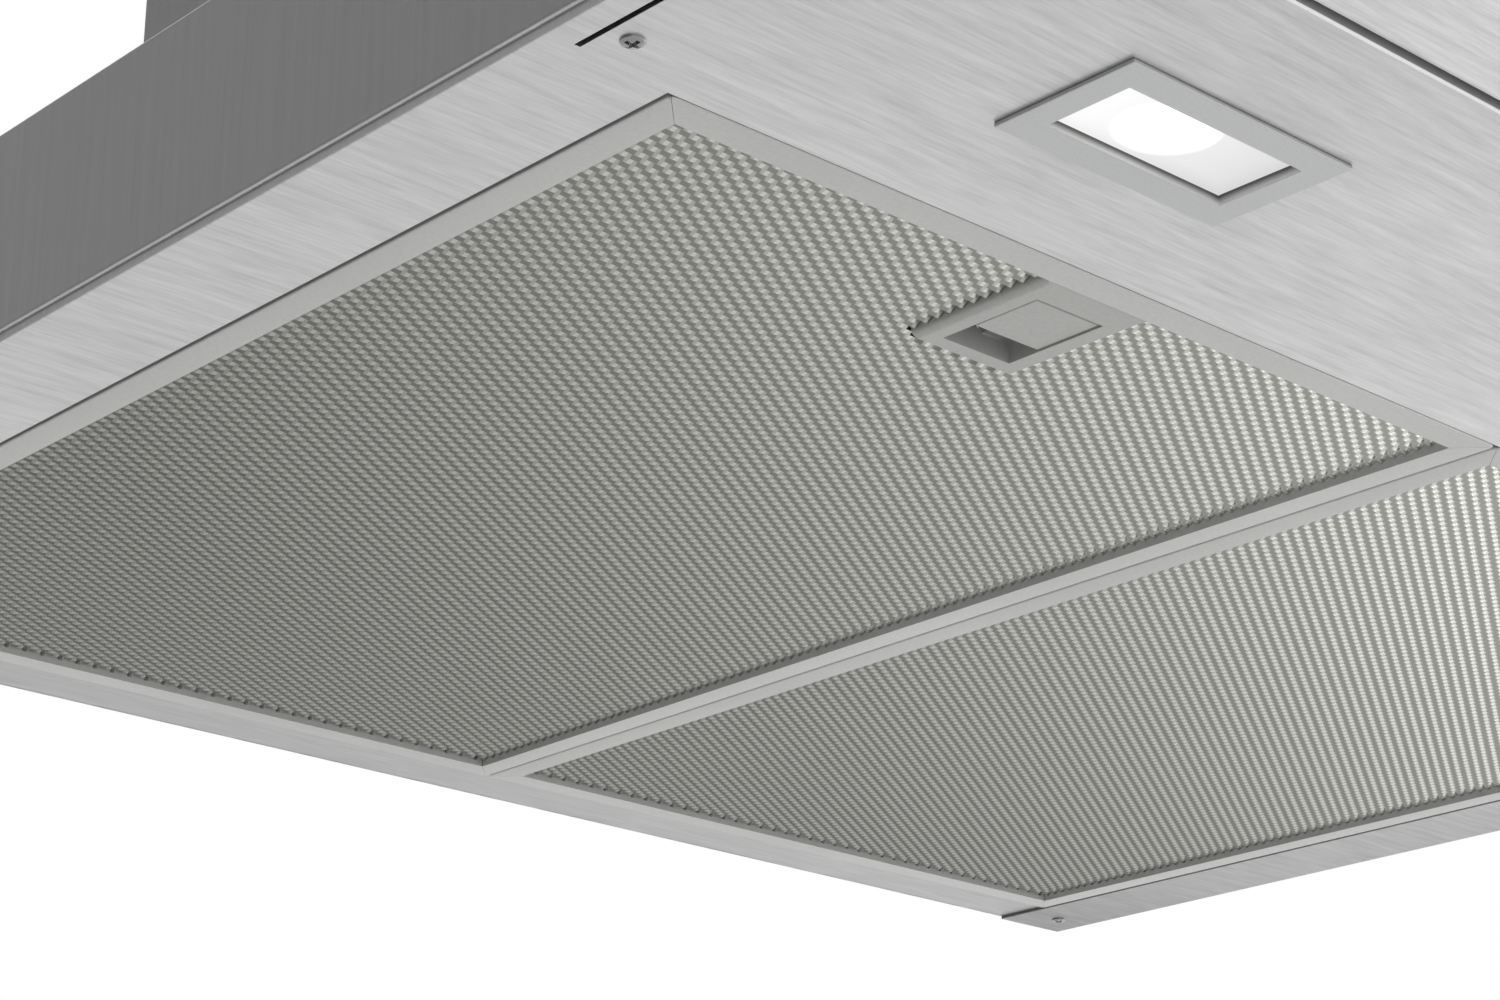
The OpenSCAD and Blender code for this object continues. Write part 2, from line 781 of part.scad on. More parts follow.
module lamp_left_bezel() { lamp_bezel(left); }
module lamp_left_lens() { lamp_lens(left); }
module lamp_left_bulb() { lamp_bulb(left); }
module lamp_left_housing() { lamp_housing(left); }
module lamp_right_bezel() { lamp_bezel(right); }
module lamp_right_lens() { lamp_lens(right); }
module lamp_right_bulb() { lamp_bulb(right); }
module lamp_right_housing() { lamp_housing(right); }

// Sheet box on the canopy's top flange, open below, with the blower's mouth in its top
module motor_box() {
    half = box_half;
    color(zinc) at_origin() difference() {
        union() {
            block(-half, half, box_y0, box_y1, slope_top_z, box_top);
            block(-half - box_flange, half + box_flange, box_y0 - box_flange, box_y1 + box_flange,
                slope_top_z, slope_top_z + sheet_t);
        }
        block(-half + sheet_t, half - sheet_t, box_y0 + sheet_t, box_y1 - sheet_t,
            slope_top_z - over, box_top - sheet_t);
        block(-scroll_half + scroll_t, scroll_half - scroll_t,
            -axis_y + mouth_u0 + scroll_t, -axis_y + scroll_r1 - scroll_t, box_top - 2, box_top + over);
        rod_z(gland_x, gland_y, box_top - 2, box_top + over, gland_r + 0.1);
    }
}

// Scroll outline about the blower's axis: the radius grows evenly from the cut-off to the mouth
function scroll_radius(a) = scroll_r0 + (scroll_r1 - scroll_r0) * (a - cutoff_angle) / (360 - cutoff_angle);
function scroll_points(inset, top) = concat(
    [for (k = [0:57]) let (a = cutoff_angle + 5 * k) (scroll_radius(a) - inset) * [cos(a), sin(a)]],
    [[scroll_r1 - inset, top], [mouth_u0 + inset, top],
        [mouth_u0 + inset, (scroll_r0 - inset) * sin(cutoff_angle)]]);

// One half of the blower housing, from the middle plane to its side plate
module blower_half() {
    nozzle_t = 1.5;
    nozzle_x = scroll_half - scroll_t - 3;
    translate([0, -axis_y, axis_z]) {
        difference() {
            along_x(0, scroll_half) polygon(scroll_points(0, mouth_v));
            along_x(-over, scroll_half - scroll_t) polygon(scroll_points(scroll_t, mouth_v + over));
            rod_x(0, scroll_half + over, 0, 0, inlet_r - nozzle_t);
        }
        difference() {
            rod_x(nozzle_x, scroll_half - scroll_t, 0, 0, inlet_r);
            rod_x(nozzle_x - over, scroll_half, 0, 0, inlet_r - nozzle_t);
        }
        difference() {
            block(0, scroll_half + mouth_flange, mouth_u0 - mouth_flange, scroll_r1 + mouth_flange,
                mouth_v - scroll_t, mouth_v);
            block(-over, scroll_half - scroll_t, mouth_u0 + scroll_t, scroll_r1 - scroll_t,
                mouth_v - 2 * scroll_t, mouth_v + over);
        }
    }
}

module blower_housing_left() {
    color(grey_plastic) at_origin() mirror([1, 0, 0]) blower_half();
}

module blower_housing_right() {
    color(grey_plastic) at_origin() blower_half();
}

// Forward-curved blade from its root to its tip, as a thin bent strip
function blade_point(s, side) =
    let (r = impeller_r - blade_d + blade_d * s,
        a = 14 * s * s,
        h = side * blade_t / 2)
    [r * cos(a) - h * sin(a + 20 * s), r * sin(a) + h * cos(a + 20 * s)];

// Double-inlet wheel: centre disc, curved blades and two end rings
module impeller() {
    disc_t = 1.5;
    half = impeller_w / 2;
    ring_w = 5;
    color(zinc) at_origin() translate([0, -axis_y, axis_z]) difference() {
        union() {
            rod_x(-disc_t / 2, disc_t / 2, 0, 0, impeller_r);
            along_x(-half, half)
                for (i = [0:blade_count - 1])
                    rotate(i * 360 / blade_count)
                        polygon(concat([for (s = blade_steps) blade_point(s, -1)],
                            [for (k = [3:-1:0]) blade_point(blade_steps[k], 1)]));
            both_sides() difference() {
                rod_x(half - disc_t, half, 0, 0, impeller_r + 0.5);
                rod_x(half - disc_t - over, half + over, 0, 0, impeller_r - ring_w);
            }
        }
        rod_x(-disc_t, disc_t, 0, 0, hub_r + fit_gap);
    }
}

module impeller_hub() {
    flange_t = 2;
    color("goldenrod") at_origin() translate([0, -axis_y, axis_z]) difference() {
        union() {
            rod_x(-7, 9, 0, 0, hub_r);
            rod_x(0.75, 0.75 + flange_t, 0, 0, hub_r + 5);
        }
        rod_x(-7 - over, 9 + over, 0, 0, shaft_r + fit_gap);
    }
}

module motor_shaft() {
    color("silver") at_origin() translate([0, -axis_y, axis_z])
        rod_x(-9, stator_x1 + cap_len + 4, 0, 0, shaft_r);
}

module motor_rotor() {
    color(zinc) at_origin() translate([0, -axis_y, axis_z]) difference() {
        rod_x(stator_x0 + over, stator_x1 - over, 0, 0, rotor_r);
        rod_x(stator_x0, stator_x1, 0, 0, shaft_r + fit_gap);
    }
}

// Lamination stack round the rotor
module motor_stator() {
    air_gap = 0.5;
    color(copper) at_origin() translate([0, -axis_y, axis_z]) difference() {
        rod_x(stator_x0, stator_x1, 0, 0, motor_r);
        rod_x(stator_x0 - over, stator_x1 + over, 0, 0, rotor_r + air_gap);
    }
}

module end_cap(x0) {
    difference() {
        rod_x(x0, x0 + cap_len, 0, 0, motor_r - 2);
        rod_x(x0 - over, x0 + cap_len + over, 0, 0, bush_r + fit_gap);
    }
}

module motor_end_caps() {
    color(zinc) at_origin() translate([0, -axis_y, axis_z]) {
        end_cap(stator_x0 - cap_len);
        end_cap(stator_x1);
    }
}

module bush(x0) {
    difference() {
        rod_x(x0, x0 + cap_len, 0, 0, bush_r);
        rod_x(x0 - over, x0 + cap_len + over, 0, 0, shaft_r + run_gap);
    }
}

module motor_bearings() {
    color("goldenrod") at_origin() translate([0, -axis_y, axis_z]) {
        bush(stator_x0 - cap_len);
        bush(stator_x1);
    }
}

// Flat spider on the right side plate: a ring round the end cap and three arms
module motor_bracket() {
    ring_r = motor_r + 5;
    arm_w = 14;
    arm_r = inlet_r + 9;
    color(zinc) at_origin() translate([0, -axis_y, axis_z]) difference() {
        union() {
            rod_x(scroll_half, scroll_half + spider_t, 0, 0, ring_r);
            for (a = [90, 210, 330])
                rotate([a, 0, 0])
                    block(scroll_half, scroll_half + spider_t, ring_r - 4, arm_r, -arm_w / 2, arm_w / 2);
        }
        rod_x(scroll_half - over, scroll_half + spider_t + over, 0, 0, motor_r - 2 + fit_gap);
    }
}

// Motor capacitor on the box's left wall
module capacitor() {
    tag_w = 6;
    tag_t = 4;
    x = -box_half + sheet_t;
    tag_x = x + (capacitor_w - tag_w) / 2;
    top = capacitor_z + capacitor_h;
    color(dark_plastic) at_origin() {
        block(x, x + capacitor_w, capacitor_y - capacitor_d / 2, capacitor_y + capacitor_d / 2,
            capacitor_z, top);
        for (y = [capacitor_y - capacitor_d / 5, capacitor_y + capacitor_d / 5])
            block(tag_x, tag_x + tag_w, y - tag_t / 2, y + tag_t / 2, top, top + tag_w);
    }
}

// Closed box for the mains terminals on the box's left wall
module terminal_box() {
    lid_t = 3;
    lid_rim = 2;
    x = -box_half + sheet_t;
    lid_x = x + terminal_w;
    y0 = gland_y - gland_front + sheet_t + 13;
    z1 = box_top - sheet_t - 26;
    color(dark_plastic) at_origin() {
        block(x, lid_x, y0, y0 + terminal_d, z1 - terminal_h, z1);
        block(lid_x, lid_x + lid_t, y0 - lid_rim, y0 + terminal_d + lid_rim,
            z1 - terminal_h - lid_rim, z1 + lid_rim);
    }
}

// Threaded gland with a six-sided nut above and a ring nut below the box's top
module cable_gland() {
    color(dark_plastic) at_origin() difference() {
        union() {
            rod_z(gland_x, gland_y, box_top - 10, box_top + 16, gland_r);
            translate([gland_x, gland_y, box_top]) cylinder(d = gland_nut_w, h = 6, $fn = 6);
            translate([gland_x, gland_y, box_top - sheet_t - 5]) cylinder(d = gland_nut_w, h = 5, $fn = 6);
        }
        rod_z(gland_x, gland_y, box_top - 11, box_top + 17, gland_bore_r);
    }
}

// Duct collar on the box's top, with a stop ring and the flaps' pin holes
module outlet_adaptor() {
    top = box_top + adaptor_t + collar_h;
    color(dark_plastic) at_origin() translate([0, collar_y, 0]) difference() {
        union() {
            rod_z(0, 0, box_top, box_top + adaptor_t, adaptor_r);
            rod_z(0, 0, box_top + adaptor_t, top, collar_r);
        }
        rod_z(0, 0, box_top - over, stop_z - stop_w, collar_inner);
        rod_z(0, 0, stop_z - stop_w - over, stop_z + over, collar_inner - stop_w);
        rod_z(0, 0, stop_z, top + over, collar_inner);
        for (dy = [-flap_axis_dy, flap_axis_dy])
            rod_x(-adaptor_r, adaptor_r, dy, flap_axis_z, pin_r + pin_gap);
    }
}

// Half-round flap with its barrel and pins; dir is -1 for the front flap and 1 for the rear one
module damper_flap(dir) {
    flap_r = collar_inner - 1;
    flap_half = flap_r + over;
    pin_half = collar_r - 0.3;
    barrel_half = collar_inner - stop_w - 1;
    color(grey_plastic) at_origin() translate([0, collar_y, 0]) {
        intersection() {
            rod_z(0, 0, flap_z, flap_z + flap_t, flap_r);
            translate([0, dir * (flap_axis_dy + flap_half / 2), 0])
                block(-flap_half, flap_half, -flap_half / 2, flap_half / 2,
                    flap_z - over, flap_z + 2 * flap_t);
        }
        rod_x(-barrel_half, barrel_half, dir * flap_axis_dy, flap_axis_z, barrel_r);
        rod_x(-pin_half, pin_half, dir * flap_axis_dy, flap_axis_z, pin_r);
    }
}

module damper_flap_front() { damper_flap(-1); }
module damper_flap_rear() { damper_flap(1); }

// U-shaped cover with returns at its open back
module chimney_cover(half, front, rear, z0, z1) {
    difference() {
        block(-half, half, front, rear, z0, z1);
        block(-half + sheet_t, half - sheet_t, front + sheet_t, rear - sheet_t, z0 - over, z1 + over);
        block(-half + chimney_return, half - chimney_return, rear - 2 * sheet_t, rear + over,
            z0 - over, z1 + over);
    }
}

module lower_chimney() {
    color(steel) at_origin() difference() {
        chimney_cover(chimney_w / 2, -chimney_d, 0, slope_top_z, slope_top_z + lower_h);
        rod_x(-chimney_w, chimney_w, lower_screw_y, lower_screw_z, cover_screw_r + 0.1);
    }
}

// Screw along X with a low head outside a cover
module cover_screw(face_x, y, z, depth) {
    rod_x(face_x, face_x + cover_screw_head_h, y, z, cover_screw_head_r);
    rod_x(face_x - depth, face_x, y, z, cover_screw_r);
}

module lower_chimney_screws() {
    color(zinc) at_origin() both_sides()
        cover_screw(chimney_w / 2, lower_screw_y, lower_screw_z, sheet_t + 4);
}

// Inner cover that slides up, with vent slots near its top
module upper_chimney() {
    slot_count = 5;
    slot_pitch = 12;
    color(steel) at_origin() difference() {
        chimney_cover(upper_half, upper_front, upper_rear, upper_top - upper_h, upper_top);
        rod_x(-upper_half - over, upper_half + over, ear_screw_y, ear_screw_z, cover_screw_r + 0.1);
        for (i = [0:slot_count - 1])
            block(-upper_half - over, upper_half + over,
                upper_front + vent_front, upper_front + vent_front + vent_len,
                upper_top - 60 - i * slot_pitch, upper_top - 56 - i * slot_pitch);
    }
}

// Strip on the wall behind the upper chimney, with an ear inside each of its sides
module chimney_bracket() {
    ear_x = upper_half - sheet_t;
    color(zinc) at_origin() difference() {
        union() {
            block(-ear_x, ear_x, -bracket_t, 0, bracket_z, bracket_z + bracket_h);
            both_sides() block(ear_x - chimney_return - 3, ear_x - chimney_return, -ear_d, -bracket_t,
                bracket_z, bracket_z + bracket_h);
            both_sides() block(ear_x - chimney_return - 3, ear_x, -ear_d, -ear_d + bracket_t,
                bracket_z, bracket_z + bracket_h);
            both_sides() block(ear_x - bracket_t, ear_x, -ear_d, ear_screw_y + 4,
                bracket_z, bracket_z + bracket_h);
        }
        both_sides() rod_y(bracket_x, -2 * bracket_t, over, ear_screw_z, 2.75);
        rod_x(-upper_half, upper_half, ear_screw_y, ear_screw_z, cover_screw_r + 0.1);
    }
}

module chimney_bracket_screws() {
    color(zinc) at_origin() both_sides()
        cover_screw(upper_half, ear_screw_y, ear_screw_z, sheet_t + 4);
}

// Moves a filter's pieces to its place; side is -1 for the left filter and 1 for the right one
module at_filter(side) {
    translate([side * filter_x, 0, 0]) children();
}

// The same for the pieces of its latch
module at_latch(side) {
    translate([side * filter_x + latch_x, 0, 0]) children();
}

// Channel frame: outer web, bottom lip with its inner return, and top lip
module filter_frame(side) {
    half = filter_w / 2;
    y0 = filter_front;
    y1 = filter_rear;
    inner = strip_w - frame_t;
    color(frame_silver) at_origin() at_filter(side) difference() {
        union() {
            ring_wall(-half, half, y0, y1, 0, filter_h, frame_t);
            ring_wall(-half, half, y0, y1, 0, frame_t, strip_w);
            ring_wall(-half + inner, half - inner, y0 + inner, y1 - inner, 0, return_h, frame_t);
            ring_wall(-half, half, y0, y1, filter_h - frame_t, filter_h, strip_w);
        }
        translate([latch_x, 0, 0])
            block(-bolt_w / 2 - latch_gap, bolt_w / 2 + latch_gap, y0 - over, y0 + 2 * frame_t,
                bolt_z0 - latch_gap, bolt_z1 + latch_gap);
        for (x = [-tab_x, tab_x])
            block(x - tab_w / 2 - slot_gap, x + tab_w / 2 + slot_gap, y1 - 2 * frame_t, y1 + over,
                tab_z - slot_gap, tab_z + tab_t + slot_gap);
    }
}

// Spring steel tabs inside the rear channel that reach out over the rear rail
module filter_tabs(side) {
    y1 = filter_rear - frame_t;
    color(zinc) at_origin() at_filter(side)
        for (x = [-tab_x, tab_x]) {
            block(x - tab_w / 2, x + tab_w / 2, y1 - tab_t, y1, tab_z, tab_z + tab_leg);
            block(x - tab_w / 2, x + tab_w / 2, y1, filter_rear + tab_reach, tab_z, tab_z + tab_t);
        }
}

// Cross-section of a ridged layer along Y: valleys and crests in turn, then back along the top
function ridge_line(y0, y1, z, pitch, ridge) =
    let (n = floor((y1 - y0) / pitch), start = y0 + ((y1 - y0) - n * pitch) / 2)
    concat([[y0, z + ridge]], [for (k = [0:2 * n]) [start + k * pitch / 2, k % 2 == 0 ? z + ridge : z]],
        [[y1, z + ridge]]);
function reversed(line) = [for (k = [len(line) - 1:-1:0]) line[k]];
function raised(line, h) = [for (p = line) [p[0], p[1] + h]];

module mesh_layer(half, y0, y1, z, pitch, ridge) {
    line = ridge_line(y0, y1, z, pitch, ridge);
    along_x(-half, half) polygon(concat(line, reversed(raised(line, mesh_t))));
}

// Three ridged layers of expanded mesh; the lowest shows the fine ridges
module filter_mesh(side) {
    half = filter_w / 2 - mesh_margin;
    y0 = filter_front + mesh_margin;
    y1 = filter_rear - mesh_margin;
    layer_h = mesh_ridge + mesh_t;
    coarse_ridge = (mesh_top - mesh_z - layer_h) / 2 - mesh_t;
    color(mesh_silver) at_origin() at_filter(side) difference() {
        union() {
            mesh_layer(half, y0, y1, mesh_z, mesh_pitch, mesh_ridge);
            mesh_layer(half, y0, y1, mesh_z + layer_h, 5 * mesh_pitch, coarse_ridge);
            mesh_layer(half, y0, y1, mesh_z + layer_h + coarse_ridge + mesh_t, 5 * mesh_pitch, coarse_ridge);
        }
        translate([latch_x, 0, 0])
            block(-plate_w / 2 - latch_gap, plate_w / 2 + latch_gap, y0 - over, plate_rear + latch_gap,
                0, filter_h);
    }
}

// Box with the catch's channel, the finger recess behind it and the spring's groove above
module latch_plate(side) {
    channel = catch_w / 2 + latch_gap;
    color(frame_silver) at_origin() at_latch(side) difference() {
        block(-plate_w / 2, plate_w / 2, plate_front, plate_rear, 0, plate_h);
        block(-channel, channel, catch_y0 - latch_gap, recess_y1, -over, catch_z1 + latch_gap);
        block(-lug_w / 2 - latch_gap, lug_w / 2 + latch_gap, catch_y0 - latch_gap, recess_y1,
            catch_z1, groove_z1);
        block(-bolt_w / 2 - latch_gap, bolt_w / 2 + latch_gap, plate_front - over, catch_y0,
            bolt_z0 - latch_gap, bolt_z1 + latch_gap);
    }
}

// Sliding catch with its bolt and the lug that the spring pushes
module latch(side) {
    color(frame_silver) at_origin() at_latch(side) {
        block(-catch_w / 2, catch_w / 2, catch_y0, catch_y1, catch_z0, catch_z1);
        block(-bolt_w / 2, bolt_w / 2, filter_front + bolt_setback, catch_y0, bolt_z0, bolt_z1);
        block(-lug_w / 2, lug_w / 2, catch_y0, catch_y0 + lug_d, catch_z1, groove_z1 - latch_gap);
    }
}

// Compression spring: one unbroken tube wound about an axis along Y
function spring_ring(k, y0, y1) =
    let (t = k / (spring_ring_count - 1), a = 360 * spring_turns * t, y = y0 + (y1 - y0) * t)
    [for (j = [0:spring_sides - 1])
        let (b = 360 * j / spring_sides, r = spring_r + spring_wire_r * cos(b))
        [r * cos(a), y + spring_wire_r * sin(b), r * sin(a)]];

module latch_spring(side) {
    y0 = catch_y0 + lug_d + spring_wire_r + 0.05;
    y1 = recess_y1 - spring_wire_r - 0.05;
    n = spring_ring_count;
    m = spring_sides;
    rings = [for (k = [0:n - 1]) each spring_ring(k, y0, y1)];
    walls = [for (k = [0:n - 2]) for (j = [0:m - 1]) each [
        [k * m + j, k * m + (j + 1) % m, (k + 1) * m + j],
        [k * m + (j + 1) % m, (k + 1) * m + (j + 1) % m, (k + 1) * m + j]]];
    ends = [[for (j = [m - 1:-1:0]) j], [for (j = [0:m - 1]) (n - 1) * m + j]];
    color("silver") at_origin() at_latch(side) translate([0, 0, spring_z])
        polyhedron(points = rings, faces = concat(walls, ends));
}

module filter_left_frame() { filter_frame(left); }
module filter_left_mesh() { filter_mesh(left); }
module filter_left_tabs() { filter_tabs(left); }
module filter_left_latch_plate() { latch_plate(left); }
module filter_left_latch_spring() { latch_spring(left); }
module filter_left_latch() { latch(left); }
module filter_right_frame() { filter_frame(right); }
module filter_right_mesh() { filter_mesh(right); }
module filter_right_tabs() { filter_tabs(right); }
module filter_right_latch_plate() { latch_plate(right); }
module filter_right_latch_spring() { latch_spring(right); }
module filter_right_latch() { latch(right); }

canopy_shell();
back_panel();
hanging_plates();
front_fascia();
underside_pan();
pan_brackets();
pan_screws();
rear_rail();
filter_seats();
filter_divider();
button_bezel();
switch_block();
lamp_left_bezel();
lamp_left_lens();
lamp_left_bulb();
lamp_left_housing();
lamp_right_bezel();
lamp_right_lens();
lamp_right_bulb();
lamp_right_housing();
motor_box();
blower_housing_left();
blower_housing_right();
motor_stator();
motor_end_caps();
motor_bearings();
motor_bracket();
capacitor();
terminal_box();
cable_gland();
outlet_adaptor();
lower_chimney();
lower_chimney_screws();
impeller();
impeller_hub();
motor_rotor();
motor_shaft();
damper_flap_front();
damper_flap_rear();
upper_chimney();
chimney_bracket();
chimney_bracket_screws();
filter_left_frame();
filter_left_mesh();
filter_left_tabs();
filter_left_latch_plate();
filter_left_latch_spring();
filter_left_latch();
filter_right_frame();
filter_right_mesh();
filter_right_tabs();
filter_right_latch_plate();
filter_right_latch_spring();
filter_right_latch();
button_off();
button_low();
button_medium();
button_high();
button_light();
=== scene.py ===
"""Visual model of a wall mount range hood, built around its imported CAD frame."""
import json
import math

import bpy
import bmesh
import numpy as np
from mathutils import Matrix, Vector


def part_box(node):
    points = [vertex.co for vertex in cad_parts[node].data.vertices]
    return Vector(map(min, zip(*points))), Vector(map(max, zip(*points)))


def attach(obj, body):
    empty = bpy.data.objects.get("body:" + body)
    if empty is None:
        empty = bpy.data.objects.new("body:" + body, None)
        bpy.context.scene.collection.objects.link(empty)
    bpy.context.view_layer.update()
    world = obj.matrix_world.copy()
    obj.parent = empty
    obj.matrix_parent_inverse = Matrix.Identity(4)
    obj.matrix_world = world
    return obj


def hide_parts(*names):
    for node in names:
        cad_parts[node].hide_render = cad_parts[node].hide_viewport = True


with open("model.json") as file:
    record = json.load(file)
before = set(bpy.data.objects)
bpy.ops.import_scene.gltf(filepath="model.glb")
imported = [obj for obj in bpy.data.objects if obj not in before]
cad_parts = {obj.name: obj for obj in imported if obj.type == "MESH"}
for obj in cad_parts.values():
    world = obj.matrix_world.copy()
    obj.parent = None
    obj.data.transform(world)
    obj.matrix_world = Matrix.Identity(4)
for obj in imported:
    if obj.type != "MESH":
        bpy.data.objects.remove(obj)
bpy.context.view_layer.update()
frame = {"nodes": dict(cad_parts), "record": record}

# A millimetre in metres. The frame is in metres, and sizes below are in millimetres where no comment says
# otherwise.
MM = 0.001
SIDES = ("left", "right")


# Camera

# Fitted to the photo's straight edges: place in metres, and yaw, pitch and roll in degrees
CAMERA_PLACE = (-0.6277, -0.8257, -0.2909)
CAMERA_TURN = (42.806, 20.778, -0.087)
FOCAL_LENGTH = 78.10
SENSOR_WIDTH = 36


def camera_axes(yaw, pitch, roll):
    """Right, up and forward directions; yaw 0 looks along +Y and positive turns right."""
    yaw, pitch, roll = (math.radians(a) for a in (yaw, pitch, roll))
    forward = Vector((math.sin(yaw) * math.cos(pitch), math.cos(yaw) * math.cos(pitch), math.sin(pitch)))
    right = Vector((math.cos(yaw), -math.sin(yaw), 0))
    up = right.cross(forward)
    return (right * math.cos(roll) + up * math.sin(roll),
            up * math.cos(roll) - right * math.sin(roll), forward)


def make_camera():
    """The camera at the photo's point of view."""
    data = bpy.data.cameras.new("camera")
    data.sensor_fit = "HORIZONTAL"
    data.sensor_width = SENSOR_WIDTH
    data.lens = FOCAL_LENGTH
    data.clip_start = 0.05
    data.clip_end = 100
    camera = bpy.data.objects.new("camera", data)
    bpy.context.scene.collection.objects.link(camera)
    right, up, forward = camera_axes(*CAMERA_TURN)
    turn = Matrix((right, up, -forward)).transposed().to_4x4()
    camera.matrix_world = Matrix.Translation(CAMERA_PLACE) @ turn
    bpy.context.scene.camera = camera


make_camera()


# Materials

class Nodes:
    """Small helper that builds a material's node tree."""

    def __init__(self, name):
        self.material = bpy.data.materials.new(name)
        self.material.use_nodes = True
        self.tree = self.material.node_tree
        self.shader = self.tree.nodes["Principled BSDF"]

    def new(self, kind, **values):
        """A node of a kind, with its properties set."""
        node = self.tree.nodes.new(kind)
        for key, value in values.items():
            setattr(node, key, value)
        return node

    def link(self, a, b):
        """Joins an output to an input."""
        self.tree.links.new(a, b)

    def set(self, **values):
        """Constants on the shader's sockets."""
        for key, value in values.items():
            self.shader.inputs[key.replace("_", " ")].default_value = value

    def coords(self, scale, offset=(0, 0, 0)):
        """Object coordinates in metres, times scale."""
        place = self.new("ShaderNodeTexCoord")
        mapping = self.new("ShaderNodeMapping")
        mapping.inputs["Scale"].default_value = scale
        mapping.inputs["Location"].default_value = offset
        self.link(place.outputs["Object"], mapping.inputs["Vector"])
        return mapping.outputs["Vector"]

    def xyz(self):
        """Object coordinates in metres, as three values."""
        place = self.new("ShaderNodeTexCoord")
        split = self.new("ShaderNodeSeparateXYZ")
        self.link(place.outputs["Object"], split.inputs[0])
        return split.outputs["X"], split.outputs["Y"], split.outputs["Z"]

    def calc(self, operation, a, b=None):
        """One math node; a and b are sockets or numbers."""
        node = self.new("ShaderNodeMath", operation=operation)
        for socket, value in zip(node.inputs, (a, b)):
            if isinstance(value, bpy.types.NodeSocket):
                self.link(value, socket)
            elif value is not None:
                socket.default_value = value
        return node.outputs[0]

    def noise(self, vector, detail, rough):
        """Noise over already scaled coordinates."""
        node = self.new("ShaderNodeTexNoise")
        node.inputs["Scale"].default_value = 1
        node.inputs["Detail"].default_value = detail
        node.inputs["Roughness"].default_value = rough
        self.link(vector, node.inputs["Vector"])
        return node.outputs["Fac"]

    def map_range(self, value, low, high, to_low=0.0, to_high=1.0):
        """Value between low and high, clamped and spread over to_low and to_high."""
        node = self.new("ShaderNodeMapRange")
        node.inputs["From Min"].default_value = low
        node.inputs["From Max"].default_value = high
        node.inputs["To Min"].default_value = to_low
        node.inputs["To Max"].default_value = to_high
        self.link(value, node.inputs["Value"])
        return node.outputs["Result"]

    def mix_value(self, a, b, factor):
        """A share of b, and the rest of a."""
        node = self.new("ShaderNodeMath", operation="MULTIPLY_ADD")
        self.link(a, node.inputs[0])
        node.inputs[1].default_value = 1 - factor
        self.link(self.calc("MULTIPLY", b, factor), node.inputs[2])
        return node.outputs[0]

    def colour(self, factor, low, high):
        """Base colour between low and high."""
        node = self.new("ShaderNodeMix", data_type="RGBA")
        self.link(factor, node.inputs["Factor"])
        node.inputs["A"].default_value = (*low, 1)
        node.inputs["B"].default_value = (*high, 1)
        self.link(node.outputs["Result"], self.shader.inputs["Base Color"])
        return node.outputs["Result"]

    def fade(self, colour, way, start, stop, low):
        """Painted shade: darkens the base colour along a direction, from start to stop in metres, down to
        low.
        """
        place = self.new("ShaderNodeTexCoord")
        dot = self.new("ShaderNodeVectorMath", operation="DOT_PRODUCT")
        self.link(place.outputs["Object"], dot.inputs[0])
        dot.inputs[1].default_value = way
        node = self.new("ShaderNodeMix", data_type="RGBA", blend_type="MULTIPLY")
        node.inputs["Factor"].default_value = 1
        self.link(colour, node.inputs["A"])
        self.link(self.map_range(dot.outputs["Value"], start, stop, 1, low), node.inputs["B"])
        self.link(node.outputs["Result"], self.shader.inputs["Base Color"])

    def roughness(self, factor, low, high):
        """Roughness from low to high, following factor."""
        self.link(self.map_range(factor, 0, 1, low, high), self.shader.inputs["Roughness"])

    def bump(self, height, strength, distance):
        """Bump that follows height; distance is in metres."""
        node = self.new("ShaderNodeBump")
        node.inputs["Strength"].default_value = strength
        node.inputs["Distance"].default_value = distance
        self.link(height, node.inputs["Height"])
        self.link(node.outputs["Normal"], self.shader.inputs["Normal"])


def grey(level, tint=(1, 1, 1)):
    """A colour of one level, times a tint."""
    return tuple(level * t for t in tint)


# Scale of the streaks on each axis, per metre: low along the grain and high across it
GRAIN = {
    "x": (70, 1150, 1150),
    "side": (30, 1100, 26),
    "front": (1100, 30, 26),
}
# Scale of the broad streaks, as shares of the fine ones' across and along the grain. A scale above
# ACROSS_FROM is one across it.
BROAD_ACROSS = 0.35
BROAD_ALONG = 0.55
ACROSS_FROM = 100


def brushed(name, grain, level, rough=(0.30, 0.42), spread=0.10, metallic=1.0, fade=None):
    """Brushed sheet: fine and broad streaks in colour, roughness and bump."""
    n = Nodes(name)
    scale = GRAIN[grain]
    broad_scale = tuple(s * (BROAD_ACROSS if s > ACROSS_FROM else BROAD_ALONG) for s in scale)
    fine = n.noise(n.coords(scale), detail=4, rough=0.62)
    broad = n.noise(n.coords(broad_scale, offset=(3.1, 1.7, 9.2)), detail=3, rough=0.5)
    cloud = n.noise(n.coords((9, 9, 9), offset=(5, 2, 1)), detail=2, rough=0.5)
    streak = n.mix_value(fine, broad, factor=0.45)
    mixed = n.mix_value(streak, cloud, factor=0.25)
    shade = n.map_range(mixed, 0.32, 0.68)
    steel = n.colour(shade, grey(level * (1 - spread)), grey(level * (1 + spread)))
    if fade:
        n.fade(steel, *fade)
    n.roughness(shade, rough[1], rough[0])
    n.bump(streak, 0.10, distance=0.00012)
    n.set(Metallic=metallic)
    return n.material


